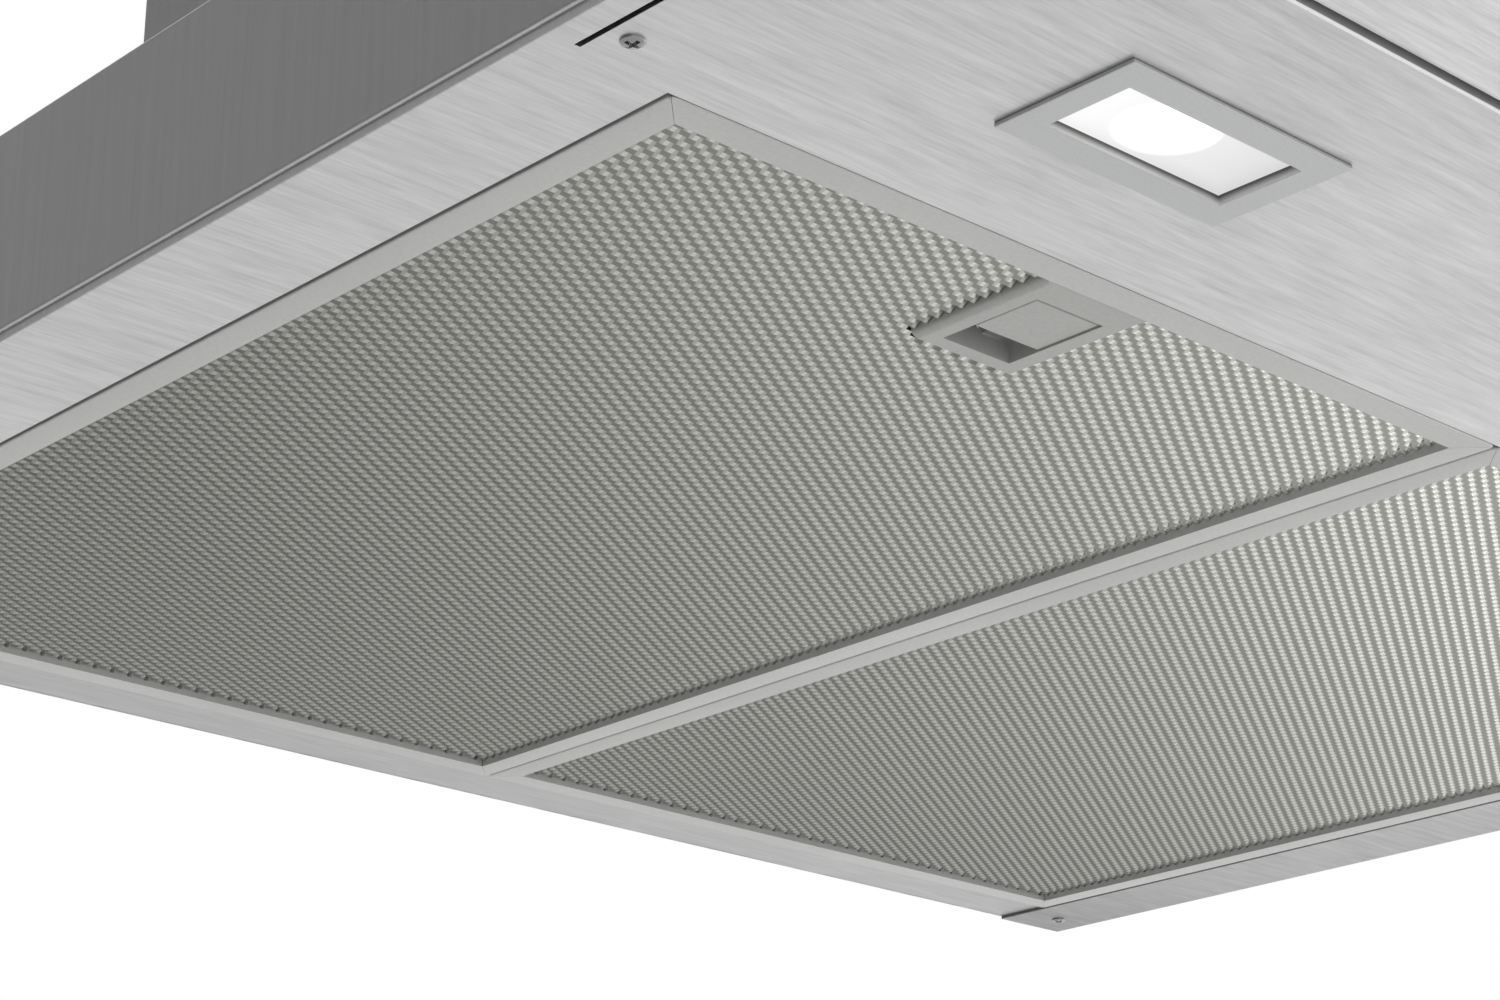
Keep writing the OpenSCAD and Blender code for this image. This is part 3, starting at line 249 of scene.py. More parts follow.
def mottled(name, low, high, rough, metallic=0.0, size=900, bump=0.03, fade=None):
    """Even material with small variation in colour and roughness."""
    n = Nodes(name)
    speck = n.noise(n.coords((size, size, size)), detail=4, rough=0.6)
    cloud = n.noise(n.coords((12, 12, 12), offset=(2, 4, 6)), detail=2, rough=0.5)
    mixed = n.map_range(n.mix_value(speck, cloud, factor=0.4), 0.35, 0.65)
    shade = n.colour(mixed, low, high)
    if fade:
        n.fade(shade, *fade)
    n.roughness(mixed, rough[1], rough[0])
    n.bump(speck, bump, distance=0.0002)
    n.set(Metallic=metallic)
    return n.material


def zinc_sheet(name):
    """Galvanised sheet: crystal patches over a dull metal."""
    n = Nodes(name)
    cells = n.new("ShaderNodeTexVoronoi", feature="F1")
    cells.inputs["Scale"].default_value = 130
    n.link(n.coords((1, 1, 1)), cells.inputs["Vector"])
    speck = n.noise(n.coords((600, 600, 600)), detail=3, rough=0.6)
    mixed = n.mix_value(cells.outputs["Distance"], speck, factor=0.4)
    shade = n.map_range(mixed, 0.2, 0.7)
    n.colour(shade, (0.36, 0.37, 0.38), (0.52, 0.53, 0.54))
    n.roughness(shade, 0.55, 0.38)
    n.bump(speck, 0.05, distance=0.0001)
    n.set(Metallic=0.9)
    return n.material


def turned(name, axis, low, high, rough, rings=900):
    """Turned metal: fine rings across an axis, rings of them per metre."""
    n = Nodes(name)
    scale = tuple(rings if k == axis else 60 for k in range(3))
    ring = n.noise(n.coords(scale), detail=3, rough=0.6)
    shade = n.map_range(ring, 0.3, 0.7)
    n.colour(shade, low, high)
    n.roughness(shade, rough[0], rough[1])
    n.bump(ring, 0.08, distance=0.0001)
    n.set(Metallic=1.0)
    return n.material


def laminated(name):
    """Stacked laminations across X with dark joints."""
    n = Nodes(name)
    wave = n.new("ShaderNodeTexWave", wave_type="BANDS", bands_direction="X", wave_profile="SIN")
    wave.inputs["Scale"].default_value = 300
    wave.inputs["Distortion"].default_value = 0.4
    n.link(n.coords((1, 1, 1)), wave.inputs["Vector"])
    speck = n.noise(n.coords((500, 500, 500)), detail=3, rough=0.6)
    mixed = n.map_range(n.mix_value(wave.outputs["Fac"], speck, factor=0.4), 0.2, 0.8)
    n.colour(mixed, (0.10, 0.09, 0.085), (0.30, 0.29, 0.28))
    n.roughness(mixed, 0.6, 0.4)
    n.bump(wave.outputs["Fac"], 0.2, distance=0.0002)
    n.set(Metallic=0.7)
    return n.material


# The painted light on the filters: their brightness follows MESH_YY * y * y + MESH_XY * x * y, with x and y
# in metres, and MESH_RANGE is the sum at the darkest and at the brightest spot
MESH_YY = 1.775
MESH_XY = -1.578
MESH_RANGE = (-0.01, 0.29)
MESH_TINT = (0.99, 1.0, 0.925)


def mesh_metal(name, far, near):
    """Aluminium of the filter packs, with painted light: lighter towards the front edge and the right."""
    n = Nodes(name)
    x, y, _ = n.xyz()
    depth_part = n.calc("MULTIPLY", n.calc("MULTIPLY", y, y), MESH_YY)
    width_part = n.calc("MULTIPLY", n.calc("MULTIPLY", x, y), MESH_XY)
    shade = n.map_range(n.calc("ADD", depth_part, width_part), *MESH_RANGE)
    speck = n.noise(n.coords((500, 500, 500)), detail=3, rough=0.6)
    mixed = n.mix_value(shade, speck, factor=0.08)
    n.colour(mixed, grey(far, MESH_TINT), grey(near, MESH_TINT))
    n.roughness(speck, 0.24, 0.34)
    n.bump(speck, 0.05, distance=0.0001)
    n.set(Metallic=0.95)
    return n.material


# The lit oval on each lens, in metres: shift of its middle from the lens's, outward and along Y, and its
# half axes
GLOW_SHIFT_X = 0.004
GLOW_SHIFT_Y = -0.0015
GLOW_HALF_X = 0.0102
GLOW_HALF_Y = 0.0092
# Squared distance, in half axes, over which the oval fades, its strength, and that of the glass around it
GLOW_RIM = (0.75, 1.45)
GLOW_STRENGTH = 1.3
GLASS_STRENGTH = (0.66, 0.86)
# Half the width over which the glass grows brighter outward, in metres
GLASS_REACH = 0.02


def lamp_glow():
    """Frosted glass lit from behind: a bright oval near the middle of each lamp."""
    n = Nodes("lit_glass")
    lo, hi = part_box("lamp_right_lens")
    middle = (lo + hi) / 2

    def squared(value, centre, half):
        """Squared distance from the centre, in half axes."""
        return n.calc("POWER", n.calc("DIVIDE", n.calc("SUBTRACT", value, centre), half), 2)

    x, y, _ = n.xyz()
    outward = n.calc("ABSOLUTE", x)
    total = n.calc("ADD", squared(outward, middle.x + GLOW_SHIFT_X, GLOW_HALF_X),
                   squared(y, middle.y + GLOW_SHIFT_Y, GLOW_HALF_Y))
    glow = n.map_range(total, *GLOW_RIM, GLOW_STRENGTH)
    glass = n.map_range(outward, middle.x - GLASS_REACH, middle.x + GLASS_REACH, *GLASS_STRENGTH)
    n.link(glass, glow.node.inputs["To Max"])
    speck = n.noise(n.coords((900, 900, 900)), detail=2, rough=0.5)
    n.colour(speck, (0.06, 0.06, 0.062), (0.09, 0.09, 0.093))
    n.set(Roughness=0.35, Emission_Color=(1, 1, 1, 1))
    n.link(glow, n.shader.inputs["Emission Strength"])
    return n.material


def bulb_glow():
    """Frosted bulb, warm white."""
    n = Nodes("lit_bulb")
    speck = n.noise(n.coords((400, 400, 400)), detail=2, rough=0.5)
    n.colour(speck, (0.90, 0.89, 0.86), (0.98, 0.97, 0.94))
    n.set(Roughness=0.3, Emission_Color=(1, 0.98, 0.94, 1), Emission_Strength=2.0)
    return n.material


# Roughness from the smoothest to the roughest spot
SATIN = (0.36, 0.46)
MATT = (0.5, 0.6)
DULL = (0.45, 0.6)

# Painted shade: direction, start and stop along it in metres, and the share of the colour that is left
# Painted shade on the pan, darker towards its rear right
PAN_SHADE = ((0.9, 1, 0), -0.16, 0.26, 0.44)
# Painted shade on the window's wall, darker towards the glass
WINDOW_SHADE = ((0, 0, 1), -0.0016, -0.0002, 0.14)

STEEL_X = brushed("steel_grain_x", "x", 0.62, spread=0.20)
PAN_X = brushed("steel_pan", "x", 0.62, spread=0.17, fade=PAN_SHADE)
# Painted shade: a darker copy of the steel on the rear rail
RAIL_SHADE_X = brushed("steel_rail_painted_shade", "x", 0.45, spread=0.12)
# Painted highlight: a pale copy of the steel with no metal, on the pan's front bend
BEND_HIGHLIGHT = brushed("steel_bend_painted_highlight", "x", 0.93, rough=(0.2, 0.3), spread=0.03, metallic=0.0)
# Painted shade: a darker copy of the side steel on the chimney covers
CHIMNEY_SHADE_SIDE = brushed("steel_chimney_painted_shade", "side", 0.49, spread=0.05)
STEEL_SIDE = brushed("steel_grain_side", "side", 0.58, spread=0.05)
STEEL_FRONT = brushed("steel_grain_front", "front", 0.62)
# Painted shade: a darker, duller copy of the steel on the fascia's back and the pan's front flange, in the
# gap between them
STEEL_SHADE_X = brushed("steel_painted_shade", "x", 0.42, rough=DULL, spread=0.08, metallic=0.25)
# Painted light: a duller, less metallic copy of the side steel on the pan's sides, in the gap under the side
# walls' hems
PAN_SIDE_LIGHT = brushed("steel_pan_side_painted_light", "side", 0.60, rough=DULL, spread=0.08, metallic=0.25)
ZINC = zinc_sheet("galvanised_sheet")
FRAME_ALU = mottled("frame_aluminium", (0.51, 0.515, 0.50), (0.56, 0.565, 0.55), SATIN, metallic=0.6)
LATCH_ALU = mottled("latch_aluminium", (0.40, 0.405, 0.385), (0.44, 0.445, 0.425), SATIN, metallic=0.6)
# Painted light: a matt, less metallic copy of the frame's aluminium on the lips beside the mesh
LIP_LIGHT_ALU = mottled("lip_painted_light", (0.50, 0.505, 0.49), (0.56, 0.565, 0.55), MATT, metallic=0.15)
# Painted shade: a darker matt copy of the latch's aluminium on the walls of the latch plate's recess
RECESS_SHADE_ALU = mottled("recess_painted_shade", (0.36, 0.365, 0.35), (0.40, 0.405, 0.39), MATT, metallic=0.15)
SOFT_ALU = mottled("shaded_edge_aluminium", (0.26, 0.265, 0.25), (0.30, 0.305, 0.29), (0.4, 0.5),
                   metallic=0.6)
# Painted light on the filter packs: one aluminium in four tones, with a painted highlight on the bonds and
# the turned strands and painted shade on the cut edges and the upper layer
MESH_ALU = mesh_metal("mesh_face", 0.162, 0.43)
MESH_BOND_HIGHLIGHT = mesh_metal("mesh_bond_painted_highlight", 0.27, 0.63)
MESH_TURN_HIGHLIGHT = mesh_metal("mesh_turned_strand_painted_highlight", 0.385, 0.88)
MESH_SHADE = mesh_metal("mesh_painted_shade", 0.07, 0.15)
BEZEL = mottled("bezel_satin", (0.50, 0.505, 0.505), (0.55, 0.555, 0.555), (0.34, 0.42),
                metallic=0.85, size=1500, bump=0.02)
WINDOW_WALL = mottled("window_wall", (0.55, 0.55, 0.54), (0.62, 0.62, 0.61), MATT,
                      bump=0.02, fade=WINDOW_SHADE)
PLASTIC = mottled("moulded_grey", (0.15, 0.155, 0.16), (0.21, 0.215, 0.22), (0.42, 0.56),
                  size=1800, bump=0.12)
DARK = mottled("moulded_dark", (0.018, 0.018, 0.020), (0.034, 0.034, 0.037), (0.38, 0.52),
               size=1800, bump=0.12)
SPRING = mottled("spring_steel", (0.42, 0.42, 0.43), (0.60, 0.60, 0.61), (0.22, 0.34),
                 metallic=1.0, bump=0.04)
CAST = mottled("cast_aluminium", (0.42, 0.43, 0.44), (0.55, 0.56, 0.57), (0.42, 0.60),
               metallic=0.9, size=1400, bump=0.25)
PLATED = turned("plated_screw", 2, (0.24, 0.24, 0.24), (0.42, 0.42, 0.42), (0.10, 0.18))
BRASS = turned("turned_brass", 0, (0.60, 0.45, 0.18), (0.78, 0.62, 0.30), (0.22, 0.38))
SHAFT = turned("ground_shaft", 0, (0.60, 0.60, 0.61), (0.78, 0.78, 0.79), (0.12, 0.22))
BUTTON = turned("button_face", 1, (0.52, 0.52, 0.525), (0.62, 0.62, 0.625), (0.26, 0.36), rings=700)
LAMINATED = laminated("laminated_core")
LENS = lamp_glow()
BULB = bulb_glow()

SLOT_MATERIAL = {
    "stainless": STEEL_X, "galvanised": ZINC, "screws": PLATED, "filter_frame": FRAME_ALU,
    "filter_mesh": MESH_ALU, "spring_steel": SPRING, "bezel": BEZEL, "lens": LENS, "bulb": BULB,
    "housing_plastic": PLASTIC, "dark_plastic": DARK, "laminations": LAMINATED, "motor_castings": CAST,
    "brass": BRASS, "shaft": SHAFT,
}
slot_of = {s["node"]: s["material_slot"] for s in frame["record"]["subparts"]}
body_of = {n: b for b, ns in frame["record"]["behaviour"]["bodies"].items() for n in ns}


def set_material(obj, *materials):
    """Gives a piece these materials and no others."""
    obj.data.materials.clear()
    for m in materials:
        obj.data.materials.append(m)


def paint(obj, materials, choose):
    """Gives each face the material whose number choose returns for it."""
    set_material(obj, *materials)
    for face in obj.data.polygons:
        face.material_index = choose(face)


# Largest part along Z of the normal of a face that counts as upright
UPRIGHT_LEAN = 0.4


def upright(face):
    """True for a face that is upright or slants a little."""
    return abs(face.normal.z) < UPRIGHT_LEAN


for node_name, node_obj in frame["nodes"].items():
    set_material(node_obj, SLOT_MATERIAL[slot_of[node_name]])


# Pieces

# Angle in degrees over which the edges of pieces made here stay sharp
CREASE = 30
# Points closer than WELD metres are made one, and edges shorter than SHORTEST metres are taken out
WELD = 1e-6
SHORTEST = 1e-7


def stand_for(obj, node):
    """The piece rides on the node's body in its place, and the node is hidden."""
    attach(obj, body_of[node])
    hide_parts(node)


def add_mesh(name, verts, faces, node, material, crease=CREASE):
    """A piece in millimetres that stands for a CAD node; edges over crease degrees stay sharp."""
    data = bpy.data.meshes.new(name)
    data.from_pydata([tuple(c * MM for c in v) for v in verts], [], [tuple(f) for f in faces])
    data.validate()
    data.update()
    data.shade_smooth()
    data.set_sharp_from_angle(angle=math.radians(crease))
    obj = bpy.data.objects.new(name, data)
    bpy.context.scene.collection.objects.link(obj)
    set_material(obj, material)
    stand_for(obj, node)
    return obj


# Edges over SHARP degrees are rounded, and faces within FLAT degrees are joined first. Points closer than
# MERGE metres are one.
SHARP = 35
FLAT = 0.5
MERGE = 2e-6
# Least share of an edge's length that lies along an axis for the edge to run along it
ALONG = 0.98


def along(direction, axis):
    """True for an edge that runs along an axis."""
    return abs(direction[axis]) > ALONG * direction.length


def rounded(node, width, segments=2, special=None, widest=None):
    """A copy of a CAD node with its edges rounded.

    special takes an edge's middle and direction, and returns its own width or None. widest is the largest
    width that it returns.
    """
    source = frame["nodes"][node]
    data = source.data.copy()
    obj = bpy.data.objects.new(node + "_skin", data)
    bpy.context.scene.collection.objects.link(obj)
    widest = widest or width
    bm = bmesh.new()
    bm.from_mesh(data)
    bmesh.ops.remove_doubles(bm, verts=bm.verts, dist=MERGE)
    bmesh.ops.dissolve_limit(bm, angle_limit=math.radians(FLAT), verts=bm.verts, edges=bm.edges)
    weight = bm.edges.layers.float.new("bevel_weight_edge")
    for e in bm.edges:
        if len(e.link_faces) == 2 and e.calc_face_angle(0) > math.radians(SHARP):
            a, b = (v.co / MM for v in e.verts)
            chosen = special((a + b) / 2, b - a) if special else None
            e[weight] = (width if chosen is None else chosen) / widest
    bm.to_mesh(data)
    bm.free()
    data.update()
    bevel = obj.modifiers.new("round", "BEVEL")
    bevel.width = widest * MM
    bevel.segments = segments
    bevel.limit_method = "WEIGHT"
    bevel.use_clamp_overlap = special is None
    bevel.harden_normals = True
    graph = bpy.context.evaluated_depsgraph_get()
    made = bpy.data.meshes.new_from_object(obj.evaluated_get(graph))
    obj.modifiers.clear()
    obj.data = made
    stand_for(obj, node)
    return obj


# Sheet metal

# How close to a side of its node's box an edge lies when it is on that side
NEAR = 0.1
# Rounding of the side walls' bottom edges, outside and inside
HEM_ROUND = 0.75
HEM_INNER_ROUND = 0.05
# Rounding of the pan's front bend, of its sides' bottom edges and of its slits
PAN_FRONT_ROUND = 0.9
PAN_SIDE_ROUND = 0.5
SLIT_ROUND = 0.04
# Where the slits' edges lie: distance from the pan's side, and in front of this Y
SLIT_NEAREST = 6
SLIT_FARTHEST = 8.5
SLIT_REAR_Y = -400
# Points of the front bend less than BEND_DEPTH behind the front and BEND_HEIGHT above the bottom move back by
# BEND_SHIFT, and those under BEND_LOWEST by BEND_SHIFT_LOWEST
BEND_DEPTH = 0.5
BEND_HEIGHT = 0.3
BEND_LOWEST = 0.05
BEND_SHIFT = 0.3
BEND_SHIFT_LOWEST = 0.5
# Depth, behind the pan's front, of the faces that get the bend's painted highlight and the front flange's
# painted shade
BEND_BAND = 0.95
# Depth, from the pan's side, of the faces that get the sides' painted light
SIDE_LIGHT_BAND = 0.2
# Least part of a face's normal along an axis for the face to look that way: for the grain to turn, for the
# fascia's back, for the pan's front bend and for the pan's sides
GRAIN_LEAN = 0.3
BACK_LEAN = 0.7
BEND_LEAN = 0.2
PAN_SIDE_LEAN = 0.8
# Edge rounding of the main sheets, and of the pieces that need nothing else
CANOPY_ROUND = 0.3
CHIMNEY_ROUND = 0.35
FASCIA_ROUND = 0.35
PAN_ROUND = 0.25
RAIL_ROUND = 0.25
PLAIN_ROUND = {
    "button_bezel": 0.5, "switch_block": 0.5, "capacitor": 1.5, "terminal_box": 1.2,
    "lamp_left_housing": 0.5, "lamp_right_housing": 0.5, "back_panel": 0.2, "filter_seats": 0.2,
    "filter_divider": 0.3, "chimney_bracket": 0.3,
}

pan_lo, pan_hi = (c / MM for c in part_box("underside_pan"))
wall_lo, wall_hi = (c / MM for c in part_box("canopy_shell"))


def hem_edge(mid, direction):
    """The side walls' bottom edges, rounded outside."""
    if mid.z < wall_lo.z + NEAR and along(direction, 1):
        return HEM_ROUND if abs(mid.x) > wall_hi.x - NEAR else HEM_INNER_ROUND
    return None


def pan_edge(mid, direction):
    """The pan's bends: a wide one along the front, soft sides and sharp slits."""
    lowest = mid.z < pan_lo.z + NEAR
    inset = pan_hi.x - abs(mid.x)
    if along(direction, 0) and lowest and mid.y < pan_lo.y + NEAR:
        return PAN_FRONT_ROUND
    if along(direction, 1) and lowest and inset < NEAR:
        return PAN_SIDE_ROUND
    if SLIT_NEAREST < inset < SLIT_FARTHEST and mid.y < SLIT_REAR_Y:
        return SLIT_ROUND
    return None


def set_grain(obj, side):
    """Grain up the sides and slopes, and along X on level faces."""

    def choose(face):
        if abs(face.normal.x) > GRAIN_LEAN:
            return 1
        return 2 if abs(face.normal.y) > GRAIN_LEAN else 0

    paint(obj, (STEEL_X, side, STEEL_FRONT), choose)


def make_covers():
    """The canopy and the chimney covers."""
    set_grain(rounded("canopy_shell", CANOPY_ROUND, 3, special=hem_edge, widest=HEM_ROUND), STEEL_SIDE)
    # The chimney covers' sides get a darker copy of the side steel: painted shade
    for node in ("lower_chimney", "upper_chimney"):
        set_grain(rounded(node, CHIMNEY_ROUND), CHIMNEY_SHADE_SIDE)


def make_fascia():
    """The fascia, with painted shade on the faces that look back."""
    skin = rounded("front_fascia", FASCIA_ROUND)
    paint(skin, (STEEL_X, STEEL_SHADE_X), lambda face: 1 if face.normal.y > BACK_LEAN else 0)


def make_pan():
    """The pan with a painted highlight along its front bend, and duller copies of the steel on its edges:
    painted shade on the front flange and painted light on the sides.
    """
    skin = rounded("underside_pan", PAN_ROUND, 3, special=pan_edge, widest=PAN_FRONT_ROUND)
    for vert in skin.data.vertices:
        above = vert.co.z / MM - pan_lo.z
        behind = vert.co.y / MM - pan_lo.y
        if behind < BEND_DEPTH and above < BEND_HEIGHT:
            vert.co.y += (BEND_SHIFT_LOWEST if above < BEND_LOWEST else BEND_SHIFT) * MM
    skin.data.update()

    def choose(face):
        # Painted highlight on the front bend, painted shade on the front flange, painted light on the sides
        if face.normal.y < -BEND_LEAN and face.center.y / MM < pan_lo.y + BEND_BAND:
            return 3 if face.normal.z < -BEND_LEAN else 1
        on_side = abs(face.center.x) / MM > pan_hi.x - SIDE_LIGHT_BAND
        return 2 if on_side and abs(face.normal.x) > PAN_SIDE_LEAN else 0

    paint(skin, (PAN_X, STEEL_SHADE_X, PAN_SIDE_LIGHT, BEND_HIGHLIGHT), choose)


make_covers()
make_fascia()
make_pan()
# The rear rail gets a darker copy of the steel: painted shade
set_material(rounded("rear_rail", RAIL_ROUND), RAIL_SHADE_X)
for node_name, round_width in PLAIN_ROUND.items():
    set_material(rounded(node_name, round_width), SLOT_MATERIAL[slot_of[node_name]])


# Expanded mesh

# Pitch of the diamonds along X and along Y
PITCH_X = 5.88
PITCH_Y = 3.64
# Width of a strand, and length of a bond, which is two strands wide
STRAND = 1.15
BOND = 1.1
# Slant of the strands and thickness of the metal
TILT = math.radians(30)
METAL = 0.40
# Room round the latch plate
PLATE_ROOM = 0.2
# The lower layer lies this far below the underside of the CAD mesh and runs into the frame's lips
LOWER_DROP = 1.3
# Distance of each layer's outline from the CAD mesh's box, in X and Y, and the start of its lattice
LOWER_INSET = (3.1, 4.2)
LOWER_START_Y = 0.4
COLUMN_ROOM = 0.02
UPPER_INSET = (13, 13)
UPPER_START = (2.4, 1.5)
# Angle over which the strands' edges stay sharp
MESH_CREASE = 60
# The pack's materials, and the number of each
MESH_MATERIALS = (MESH_ALU, MESH_BOND_HIGHLIGHT, MESH_TURN_HIGHLIGHT, MESH_SHADE)
STRAND_FACE, BOND_FACE, TURNED_FACE, SHADE_FACE = range(4)


def lattice(x0, x1, y0, y1, tilt, shift, hole):
    """Staggered middles of the bonds as (x, y, column, row), and a table of their numbers."""
    columns = int((x1 - x0) / (PITCH_X / 2)) + 3
    rows = int((y1 - y0) / (PITCH_Y / 2)) + 3
    reach_x = BOND / 2
    reach_y = STRAND * abs(math.cos(tilt)) + METAL * abs(math.sin(tilt)) / 2
    # The table has a spare column and row all round, where no bond is
    index = -np.ones((columns + 2, rows + 2), int)
    points = []
    for i in range(columns):
        for j in range(i % 2, rows, 2):
            x = x0 + shift[0] + i * PITCH_X / 2
            y = y0 + shift[1] + j * PITCH_Y / 2
            inside = x0 + reach_x <= x <= x1 - reach_x and y0 + reach_y <= y <= y1 - reach_y
            in_hole = hole[0] - reach_x < x < hole[1] + reach_x and hole[2] - reach_y < y < hole[3] + reach_y
            if inside and not in_hole:
                index[i + 1, j + 1] = len(points)
                points.append((x, y, i + 1, j + 1))
    return points, index


def expanded(x0, x1, y0, y1, z_mid, tilt, shift, hole):
    """Vertices, faces and kinds of face of one layer: bonds joined by slanted strands."""
    points, index = lattice(x0, x1, y0, y1, tilt, shift, hole)
    across = np.array([0, -math.cos(tilt), math.sin(tilt)])
    normal = np.array([0, math.sin(tilt), math.cos(tilt)])
    middles = np.array([(x, y, z_mid) for x, y, _, _ in points])
    corners = [(x, width) for x in (-BOND / 2, BOND / 2) for width in (-STRAND, 0, STRAND)]
    verts = []
    for x, width in corners:
        for height in (-METAL / 2, METAL / 2):
            verts.append(middles + np.array([x, 0, 0]) + across * width + normal * height)
    verts = np.stack(verts, axis=1).reshape(-1, 3)
    faces, kinds = [], []

    def vertex(point, corner, top):
        return (point * len(corners) + corner) * 2 + top

    def plate(outline, kind):
        """A bottom and a top face over four corners given as (point, corner)."""
        faces.append([vertex(p, c, 0) for p, c in outline][::-1])
        faces.append([vertex(p, c, 1) for p, c in outline])
        kinds.extend((kind, kind))

    def wall(a, b):
        """A cut edge between two corners, in the painted shade."""
        faces.append([vertex(*a, 0), vertex(*b, 0), vertex(*b, 1), vertex(*a, 1)])
        kinds.append(SHADE_FACE)

    for k, (_, _, i, j) in enumerate(points):
        plate([(k, 0), (k, 1), (k, 4), (k, 3)], BOND_FACE)
        plate([(k, 1), (k, 2), (k, 5), (k, 4)], BOND_FACE)
        wall((k, 0), (k, 3))
        wall((k, 5), (k, 2))
        up, down = index[i + 1, j - 1], index[i + 1, j + 1]
        if up >= 0:
            plate([(k, 4), (k, 5), (up, 1), (up, 0)], STRAND_FACE)
            wall((k, 4), (up, 0))
            wall((up, 1), (k, 5))
        else:
            wall((k, 4), (k, 5))
        if down >= 0:
            plate([(k, 3), (k, 4), (down, 2), (down, 1)], TURNED_FACE)
            wall((k, 3), (down, 1))
            wall((down, 2), (k, 4))
        else:
            wall((k, 3), (k, 4))
        if index[i - 1, j - 1] < 0:
            wall((k, 1), (k, 0))
        if index[i - 1, j + 1] < 0:
            wall((k, 2), (k, 1))
    return verts, faces, kinds


def make_mesh_pack(side_name):
    """Two layers of expanded aluminium with opposite slants, cut out round the latch."""
    lo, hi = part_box("filter_%s_mesh" % side_name)
    plate_lo, plate_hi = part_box("filter_%s_latch_plate" % side_name)
    x0, y0, z0 = (c / MM for c in lo)
    x1, y1, z1 = (c / MM for c in hi)
    # The hole for the plate is open to the front
    hole = (plate_lo.x / MM - PLATE_ROOM, plate_hi.x / MM + PLATE_ROOM,
            -math.inf, plate_hi.y / MM + PLATE_ROOM)
    rise = STRAND * math.sin(TILT) + METAL * math.cos(TILT) / 2
    # A column of bonds of the lower layer ends at the latch plate's left side
    lower_start = ((hole[0] - BOND / 2 - x0 - LOWER_INSET[0] - COLUMN_ROOM) % (PITCH_X / 2), LOWER_START_Y)
    layers = ((z0 + rise - LOWER_DROP, TILT, LOWER_INSET, lower_start),
              (z1 - rise, -TILT, UPPER_INSET, UPPER_START))
    verts, faces, kinds = [], [], []
    for z_mid, tilt, inset, start in layers:
        layer_verts, layer_faces, layer_kinds = expanded(
            x0 + inset[0], x1 - inset[0], y0 + inset[1], y1 - inset[1], z_mid, tilt, start, hole)
        base = len(verts)
        verts.extend(layer_verts)
        faces.extend([i + base for i in face] for face in layer_faces)
        # The upper layer gets the painted shade all over
        kinds.extend(layer_kinds if tilt > 0 else [SHADE_FACE] * len(layer_kinds))
    piece = add_mesh("filter_%s_expanded_mesh" % side_name, verts, faces,
                     "filter_%s_mesh" % side_name, MESH_ALU, crease=MESH_CREASE)
    set_material(piece, *MESH_MATERIALS)
    piece.data.polygons.foreach_set("material_index", kinds)


for side in SIDES:
    make_mesh_pack(side)


# Filter frames

# Channel section: width of its bottom and top, wall, and height of the lip that rises beside the mesh
FRAME_WIDTH = 8.0
FRAME_WALL = 0.8
FRAME_LIP = 2.9
# Radius of the section's outer bends, radius of the frame's corners, and setback of each end at a mitre
FRAME_BEND = 0.5
FRAME_CORNER = 1.8
MITRE_GAP = 0.06
# Depth of the faces at the bottom's inner edge that get the lip's painted light
LIP_BAND = 0.05


def arc(centre, radius, start, stop, count):
    """Points of an arc, angles in degrees."""
    angles = [math.radians(start + (stop - start) * k / (count - 1)) for k in range(count)]
    return [(centre[0] + radius * math.cos(a), centre[1] + radius * math.sin(a)) for a in angles]


def corner_rows(depths, width, radius, steps=6):
    """Rows of (along, depth) for a section's points, from the mitre to where the rounded corner ends."""

    def shift(a):
        """How far the rounded corner draws the outer edge in at a."""
        return radius - math.sqrt(radius * radius - (radius - a) ** 2) if a < radius else 0.0

    def mitre(d):
        """Where the line at depth d meets the mitre, found by halving."""
        low, high = d, d + radius
        for _ in range(40):
            a = (low + high) / 2
            if a < d + shift(a) * (1 - d / width):
                low = a
            else:
                high = a
        return (low + high) / 2

    meet = [mitre(d) for d in depths]
    rows = []
    for k in range(steps + 1):
        stop = radius * (1 - math.cos(math.pi / 2 * k / steps)) if k else 0.0
        reach = [max(stop, a) for a in meet]
        rows.append([(a, d + shift(a) * (1 - d / width)) for a, d in zip(reach, depths)])
    return rows


